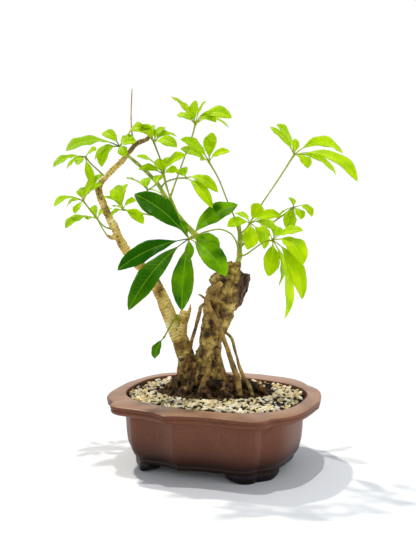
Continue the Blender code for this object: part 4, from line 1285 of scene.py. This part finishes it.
# %% The leaves' places
LEAVES = {
    "leaf_top": (((-45, 19, 248), (-38, 24, 268), (-30, 27, 290), (-23, 29, 309)),
                 (-20, 30, 320), (
        (-22, -19, 26, 13, 5), (-18, 13, 9, 8, 4), (0, 12, 23, 10, 2), (10, -12, 22, 7, 2),
        (20, -18, 2, 9, 8), (34, -21, 6, 14, 8), (32, 19, -3, 12, 8))),
    "leaf_middle": (((21, 23, 221), (16, 18, 236), (10, 14, 250), (2, 10, 270)),
                    (-7, 8, 286), (
        (-26, -18, 21, 13, 4), (-27, 17, 12, 9, 3), (3, 16, 27, 12, 2), (19, -15, 10, 8, 4),
        (-8, -14, 2, 6, 2))),
    "leaf_right_high": (((22.5, 24, 210), (32, 27, 228), (44, 28, 247), (58, 27, 268)),
                        (73, 25, 292), (
        (-18, -17, 28, 14, 4), (-22, 19, 26, 10, 3), (2, 10, 15, 7, 1), (49, 23, 0, 15, 12),
        (55, -37, -23, 16, 12), (42, 18, -20, 11, 7), (11, -18, -12, 12, 4))),
    "leaf_top_left": (((-41, 17, 243), (-44.5, 12, 256), (-48, 13, 270), (-51, 14, 284)),
                      (-58, 10, 304), (
        (-26, 27, 5, 12, 12), (-12, -19, 17, 13, 5), (-13, -20, 10, 11, 6), (22, -20, -4, 11, 5),
        (21, 18, 5, 11, 5), (10, 17, 14, 9, 3), (-4, 19, 15, 10, 4))),
    "leaf_shoot_end": (((-83, 20.5, 291), (-86, 17, 297)), (-90, 16, 300), (
        (-46, -33, -3, 17, 8), (-18, 15, 12, 10, 5), (-15, -22, -18, 12, 7), (-25, 11, -13, 9, 5),
        (6, -14, -9, 9, 3), (16, -12, 4, 10, 3), (12, 14, 10, 9, 3))),
    "leaf_far_left": (((-106, 40, 270), (-114, 45, 277), (-121, 49, 283)), (-126, 50, 289), (
        (-28, -21, -9, 11, 5), (-20, 12, -12, 9, 3), (-5, -18, -7, 9, 2), (12, -12, 7, 9, 2),
        (9, -14, -25, 8, 2))),
    "leaf_left": (((-97, 39, 220), (-107, 36, 223), (-116, 35, 233)), (-127, 34, 248), (
        (-25, -21, -4, 9, 6), (-18, 14, -7, 7, 4), (-2, 13, 12, 10, 2), (10, -13, 11, 8, 2),
        (-6, -16, -11, 8, 2), (18, 12, 25, 12, 4), (20, -15, 17, 9, 3))),
    "leaf_left_low": (((-93.5, 39, 211), (-103, 45, 211), (-110, 50, 219)), (-116, 55, 229), (
        (-28, -25, -7, 13, 6), (-8, -14, 0, 12, 2), (14, 14, 9, 10, 3), (-5, 12, 12, 8, 2))),
    "leaf_left_front": (((-30, 14, 228), (-48, 8, 234), (-67, 6, 238)), (-87, 6.4, 242), (
        (-6, 16, 22, 15, 3), (6, -15, 24, 12, 4), (-16, -17, 12, 9, 4), (-7, -16, 4, 10, 2),
        (13, -12, 9, 8, 3), (20, -15, -12, 10, 4), (-13, 10, -8, 7, 2))),
    "leaf_centre": (((-35, 15, 234), (-40, 6, 248), (-46, 1, 262)), (-49, -1, 275), (
        (-23, -22, 17, 10, 5), (-24, 17, 4, 8, 4), (-6, 7, 14, 9, 2), (8, 20, 15, 11, 3),
        (21, -20, 18, 12, 5), (14, -11, 3, 8, 3), (-6, -16, -7, 9, 2))),
    "leaf_centre_right": (((-53, 22, 261), (-47, 19, 267), (-37, 4, 271)), (-28, -4, 272), (
        (29, -21, -12, 10, 7), (24, -25, -26, 10, 7), (-6, 15, 8, 11, 1))),
    "leaf_inner": (((-56, 23, 265), (-61, 33, 261)), (-66, 42, 258), (
        (-19, -16, 12, 9, 3), (-1, 13, 11, 12, 2), (17, 15, -9, 9, 3))),
    "leaf_front": (((21.8, 25.2, 200), (20, 13, 206), (18, 2, 213), (13, -8, 221),
                    (3, -17, 226), (-9, -26, 225), (-18, -30, 222)), (-25, -32, 219), (
        (-50, 17, 39, 22, 5), (-65, 2, -29, 19, 6), (-53, -31, -60, 20, 8), (-6, -32, -60, 19, 6),
        (33, -35, -29, 19, 7), (27, -6, -10, 16, 5), (44, 10, 30, 18, 5), (1, -13, -17, 8, 2),
        (-9, 14, 15, 8, 2))),
    "leaf_right": (((22.2, 24, 217), (27, 19, 222)), (32, 17, 228), (
        (-22, -10, -2, 11, 4), (8, -14, 20, 12, 3), (30, 12, 6, 11, 5), (-15, 17, 8, 8, 3),
        (-4, -24, -22, 15, 4), (13, -2, -24, 14, 4), (21, -18, -4, 12, 5))),
    "leaf_right_hanging": (((21.2, 25.6, 195.5), (28, 15, 199), (36, 7, 206), (44, 3, 212)),
                           (52, 1, 214), (
        (-5, -22, -31, 15, 4), (7, 15, -46, 11, 6), (25, -36, -50, 16, 10), (13, 13, -77, 14, 9),
        (26, -30, -19, 19, 10), (27, -14, 10, 12, 4), (6, 17, 11, 11, 3), (-14, -16, 12, 10, 3))),
    "leaf_right_small": (((22.3, 24.7, 205), (42, 31, 219), (60, 31, 232)), (73, 28, 242), (
        (-3, 11, 9, 7, 2), (16, -20, -7, 9, 6), (-8, -14, -18, 11, 3), (-15, 14, -14, 9, 4),
        (-1, 15, -21, 9, 3), (6, -16, -10, 10, 3))),
    "leaf_low": (((-35, 34.7, 116), (-37, 27, 138), (-40, 21, 136), (-46, 17, 126)),
                 (-50, 16, 119), ((-9, -4, -20, 11, 2),)),
}
MATURE = ("leaf_front", "leaf_low")
print("leaflets:", sum(len(tips) for _, _, tips in LEAVES.values()))

# %% [markdown]
# A leaf is its stalk, its hub and its leaflets in one mesh, since it grew as one. Seeds fixed for
# each leaf keep its small differences the same in every run.

# %% Make each leaf
# All in mm: the stalk's radius, how much it swells at its foot and its hub, and the hub's radius.
STALK_RADIUS, FOOT_SWELL, HUB_SWELL = 0.72, 0.75, 0.28
HUB_RADIUS = 1.35
HUB_RINGS, HUB_SIDES = 5, 10


def add_stalk(shape, route, hub, age):
    """Adds the leaf's long stalk, swollen where it clasps the stem and where it meets the hub."""
    line = smooth([plant(p) for p in (*route, hub)], 6)
    count = len(line) - 1
    radii = []
    for k in range(count + 1):
        share = k / count
        radii.append(STALK_RADIUS + FOOT_SWELL * math.exp(-share * 9)
                     + HUB_SWELL * math.exp(-(1 - share) * 14))
    add_tube(shape, line, radii, 10, stalk=1.0, from_rib=0.0, vein=0.5, age=age)


def add_hub(shape, hub, age):
    """Adds the knot where the leaflets meet: a ball of rings."""
    middle, rings = plant(hub), []
    for k in range(1, HUB_RINGS + 1):
        tilt = math.pi * k / (HUB_RINGS + 1)
        ring = [middle + Vector((math.sin(tilt) * math.cos(a), math.sin(tilt) * math.sin(a),
                                 math.cos(tilt))) * HUB_RADIUS * MM
                for a in (2 * math.pi * i / HUB_SIDES for i in range(HUB_SIDES))]
        rings.append(shape.ring(ring, stalk=1.0, from_rib=0.0, vein=0.5, age=age))
    shape.wrap(rings)


def make_leaf(name, route, hub, tips, order):
    """Makes the leaf that stands for the CAD node called name."""
    draw = random.Random(100 + order)
    leaf, age = Shape(), draw.uniform(0.1, 0.5)
    add_stalk(leaf, route, hub, age)
    add_hub(leaf, hub, age)
    for dx, dy, dz, width, arch in tips:
        add_leaflet(leaf, hub, (dx, dy, dz), width, arch, age, draw)
    slot, material = ("mature_leaf", mature_leaf) if name in MATURE else ("young_leaf", young_leaf)
    hand_over(leaf.build("palmate_" + name, material), slot, name)


for order, (name, (route, hub, tips)) in enumerate(LEAVES.items()):
    make_leaf(name, route, hub, tips, order)

# %% [markdown]
# ## Green shoots
#
# The young shoots are smooth and green, with a raised ring at each joint where a leaf stalk
# clasps them. They start in the wood of the old trunk.

# %% Shoots
LEFT_SHOOT = (
    (4, 19, 192, 3.0), (0.8, 17.1, 197, 3.0), (-8, 13.5, 206, 2.9), (-19, 13, 217, 2.8),
    (-29, 14, 227, 2.6), (-38, 16, 238, 2.3), (-48, 20, 253, 2.0), (-57, 23, 267, 1.8),
    (-71, 22, 281, 1.6), (-86, 20, 294, 1.4),
)
RIGHT_SHOOT = ((21, 26, 191.3, 2.6), (22, 25.5, 196, 2.6), (22, 25, 203, 2.5), (22.5, 24, 214, 2.3),
               (21, 23, 226, 1.8))
# The joints: how far apart and how wide they are, in mm, and how much they swell the shoot.
JOINT_SPACING, JOINT_HALF, JOINT_SWELL = 13.0, 1.1, 0.16


def make_stem_material():
    """Green bark full of sap: streaked, slightly waxy, and pale where a leaf stalk clasps it."""
    made, tree, shader, here = new_material("green shoot", Roughness=0.45, IOR=1.45, Subsurface_Weight=0.15,
                                            Subsurface_Radius=(0.6, 1.0, 0.2), Subsurface_Scale=1.5 * MM)
    drawn = add(tree, "ShaderNodeMapping", {"Vector": here, "Scale": (1.0, 1.0, 0.3)})
    streaks = add(tree, "ShaderNodeTexNoise", {"Vector": drawn, "Scale": lumps(4), "Detail": 4.0})
    green = add(tree, "ShaderNodeValToRGB", {"Fac": streaks},
                stops=((0.3, "#62801A"), (0.5, "#8FA62A"), (0.7, "#C2CC4C")))
    joint = add(tree, "ShaderNodeAttribute", attribute_name="joint").outputs["Fac"]
    ringed = add(tree, "ShaderNodeMix", {"Factor": joint, "A": green, "B": colour("#C2B84A")},
                 data_type="RGBA")
    bump = add(tree, "ShaderNodeBump", {"Strength": 0.3, "Distance": 0.5 * MM, "Height": streaks})
    link(tree, ringed, shader.inputs["Base Color"])
    link(tree, bump, shader.inputs["Normal"])
    return made


def make_shoot(name, stations, node):
    """Makes the shoot along the stations, which stands for the CAD node."""
    shoot = Shape()
    places, radii = limb_line(stations, 12)
    run, knots = 0.0, []
    for k, place in enumerate(places):
        run += (place - places[k - 1]).length / MM if k else 0.0
        nearest = abs((run / JOINT_SPACING) % 1.0 - 0.5) * JOINT_SPACING
        knots.append(math.exp(-(nearest / JOINT_HALF) ** 2))
    radii = [r * (1 + JOINT_SWELL * knot) for r, knot in zip(radii, knots)]
    add_tube(shoot, places, radii, 20, joint=knots)
    hand_over(shoot.build(name, green_stem), "green_stem", node)


green_stem = make_stem_material()
make_shoot("left_green_shoot", LEFT_SHOOT, "left_shoot")
make_shoot("right_green_shoot", RIGHT_SHOOT, "right_shoot")

# %% [markdown]
# ## The drain meshes
#
# A square of moulded polythene mesh keeps the soil in over each drain hole. The CAD squares are
# already right, so they only get the slightly waxy look of black polythene.

# %% Drain meshes


def make_polythene():
    made, tree, shader, here = new_material("black polythene mesh", Roughness=0.45, IOR=1.5)
    haze = add(tree, "ShaderNodeTexNoise", {"Vector": here, "Scale": lumps(3), "Detail": 3.0})
    black = add(tree, "ShaderNodeValToRGB", {"Fac": haze}, stops=((0.3, "#111111"), (0.7, "#242322")))
    link(tree, black, shader.inputs["Base Color"])
    return made


polythene = make_polythene()
for side in ("left", "right"):
    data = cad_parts["drain_mesh_" + side].data
    data.materials.clear()
    data.materials.append(polythene)
print("drain meshes dressed")

# %% [markdown]
# ## The stage
#
# The plant stood on white ground under a bright sky. A flat pale floor that runs far past the
# frame gives the ground.

# %% Floor
FLOOR_HALF = 4.0


def make_floor():
    made, tree, shader, here = new_material("matt white ground", Roughness=0.9)
    slow = add(tree, "ShaderNodeTexNoise", {"Vector": here, "Scale": lumps(400), "Detail": 2.0})
    white = add(tree, "ShaderNodeValToRGB", {"Fac": slow}, stops=((0.3, "#F1F2F4"), (0.7, "#F6F6F7")))
    link(tree, white, shader.inputs["Base Color"])
    corners = ((-1, -1), (1, -1), (1, 1), (-1, 1))
    data = bpy.data.meshes.new("floor")
    data.from_pydata([(x * FLOOR_HALF, y * FLOOR_HALF, 0.0) for x, y in corners], [], [(0, 1, 2, 3)])
    data.materials.append(made)
    floor = bpy.data.objects.new("floor", data)
    bpy.context.scene.collection.objects.link(floor)
    return floor


floor = make_floor()
print("floor, metres:", tuple(round(side, 1) for side in floor.dimensions))

# %% [markdown]
# The sun stands high at the back left. A second, weaker light almost straight above gives the
# shadows that lie close to the pot's sides. Two wide soft lamps lift the dark sides a little.

# %% Lights
# Name, where from as mm along x and y for each one up, W per square metre, degrees wide, colour.
SUNS = (
    ("sun", (-0.43, 0.45), 1.75, 2.2, "#FFF9EE"),
    ("high sun", (-0.06, -0.02), 1.0, 1.2, "#FFFFFF"),
)
# Name, place in the plant's mm, width in m, power in W and colour.
LAMPS = (
    ("right fill", (1500, -600, 500), 0.9, 7.0, "#FFFFFF"),
    ("front fill", (-500, -1500, 1100), 1.2, 3.0, "#FFFFFF"),
)
LAMP_AIM = (0, 20, 120)
SUN_HEIGHT = 1000


def place_light(name, light, place, aim):
    """Puts the light at a place on the plant's axes, aimed at another, both in mm."""
    lamp = bpy.data.objects.new(name, light)
    bpy.context.scene.collection.objects.link(lamp)
    lamp.location = plant(place)
    lamp.rotation_euler = (plant(aim) - lamp.location).to_track_quat("-Z", "Y").to_euler()


def add_lamp(name, place, width, power, tint):
    light = bpy.data.lights.new(name, "AREA")
    light.shape, light.size, light.energy = "DISK", width, power
    light.color = colour(tint)[:3]
    place_light(name, light, place, LAMP_AIM)


def add_sun(name, slope, strength, degrees, tint):
    light = bpy.data.lights.new(name, "SUN")
    light.energy, light.angle, light.color = strength, math.radians(degrees), colour(tint)[:3]
    place_light(name, light, (slope[0] * SUN_HEIGHT, slope[1] * SUN_HEIGHT, SUN_HEIGHT), (0, 0, 0))


for sun in SUNS:
    add_sun(*sun)
for lamp in LAMPS:
    add_lamp(*lamp)
print("lights:", len(SUNS) + len(LAMPS))

# %% [markdown]
# Low down, the sky is white all round, so the floor meets it without a line. Higher up it is
# brightest at the back right and dimmest at the front left, which shows the pot's curves.

# %% Sky
# The way to the brightest part, and between which heights on the unit sphere the haze ends.
BRIGHT_WAY = (0.5 * COS - 0.87 * SIN, 0.5 * SIN + 0.87 * COS, 0.0)
HAZE_TOP, HAZE_FULL = 0.40, 0.27


def make_sky():
    """A sky that is white low down all round, and higher up dimmer towards the camera."""
    sky = bpy.data.worlds.new("white sky")
    sky.use_nodes = True
    tree, light = sky.node_tree, sky.node_tree.nodes["Background"]
    way = add(tree, "ShaderNodeTexCoord").outputs["Generated"]
    back = add(tree, "ShaderNodeVectorMath", {0: way, 1: BRIGHT_WAY}, operation="DOT_PRODUCT")
    share = add(tree, "ShaderNodeMapRange", {"Value": back.outputs["Value"], "From Min": -1.0})
    shade = add(tree, "ShaderNodeValToRGB", {"Fac": share},
                stops=((0.0, "#5C656E"), (0.45, "#838D97"), (0.78, "#B6C0CA"), (0.95, "#E4EAF0")))
    height = add(tree, "ShaderNodeSeparateXYZ", {"Vector": way}).outputs["Z"]
    haze = add(tree, "ShaderNodeMapRange", {"Value": height, "From Min": HAZE_TOP, "From Max": HAZE_FULL})
    hazy = add(tree, "ShaderNodeMix", {"Factor": haze, "A": shade, "B": colour("#FFFFFF")},
               data_type="RGBA")
    link(tree, hazy, light.inputs["Color"])
    return sky


bpy.context.scene.world = make_sky()
# The photograph's whites are pure and its greens strong, so colours are shown as they are.
bpy.context.scene.view_settings.view_transform = "Standard"
print("sky:", bpy.context.scene.world.name)

# %% [markdown]
# The camera stands about a metre away and looks 8.4 degrees down at the plant's best side, as
# the photograph's camera did. Its focal length was worked out from the pot's rim.

# %% Camera
CAMERA_PLACE = (-8.0, -1015.0, 329.0)
LOOK_DOWN = math.radians(8.4)
FOCAL_PIXELS, IMAGE_HEIGHT, SENSOR = 1100.0, 555, 36.0

camera = bpy.data.objects.new("camera", bpy.data.cameras.new("camera"))
bpy.context.scene.collection.objects.link(camera)
camera.data.sensor_width = SENSOR
camera.data.lens = FOCAL_PIXELS / IMAGE_HEIGHT * SENSOR
camera.location = plant(CAMERA_PLACE)
camera.rotation_euler = (math.pi / 2 - LOOK_DOWN, 0.0, PLANT_TURN)
bpy.context.scene.camera = camera
print(f"camera lens: {camera.data.lens:.1f} mm")

# %% [markdown]
# ## Finish
#
# The view layer is brought up to date.

# %% Update the view layer
bpy.context.view_layer.update()
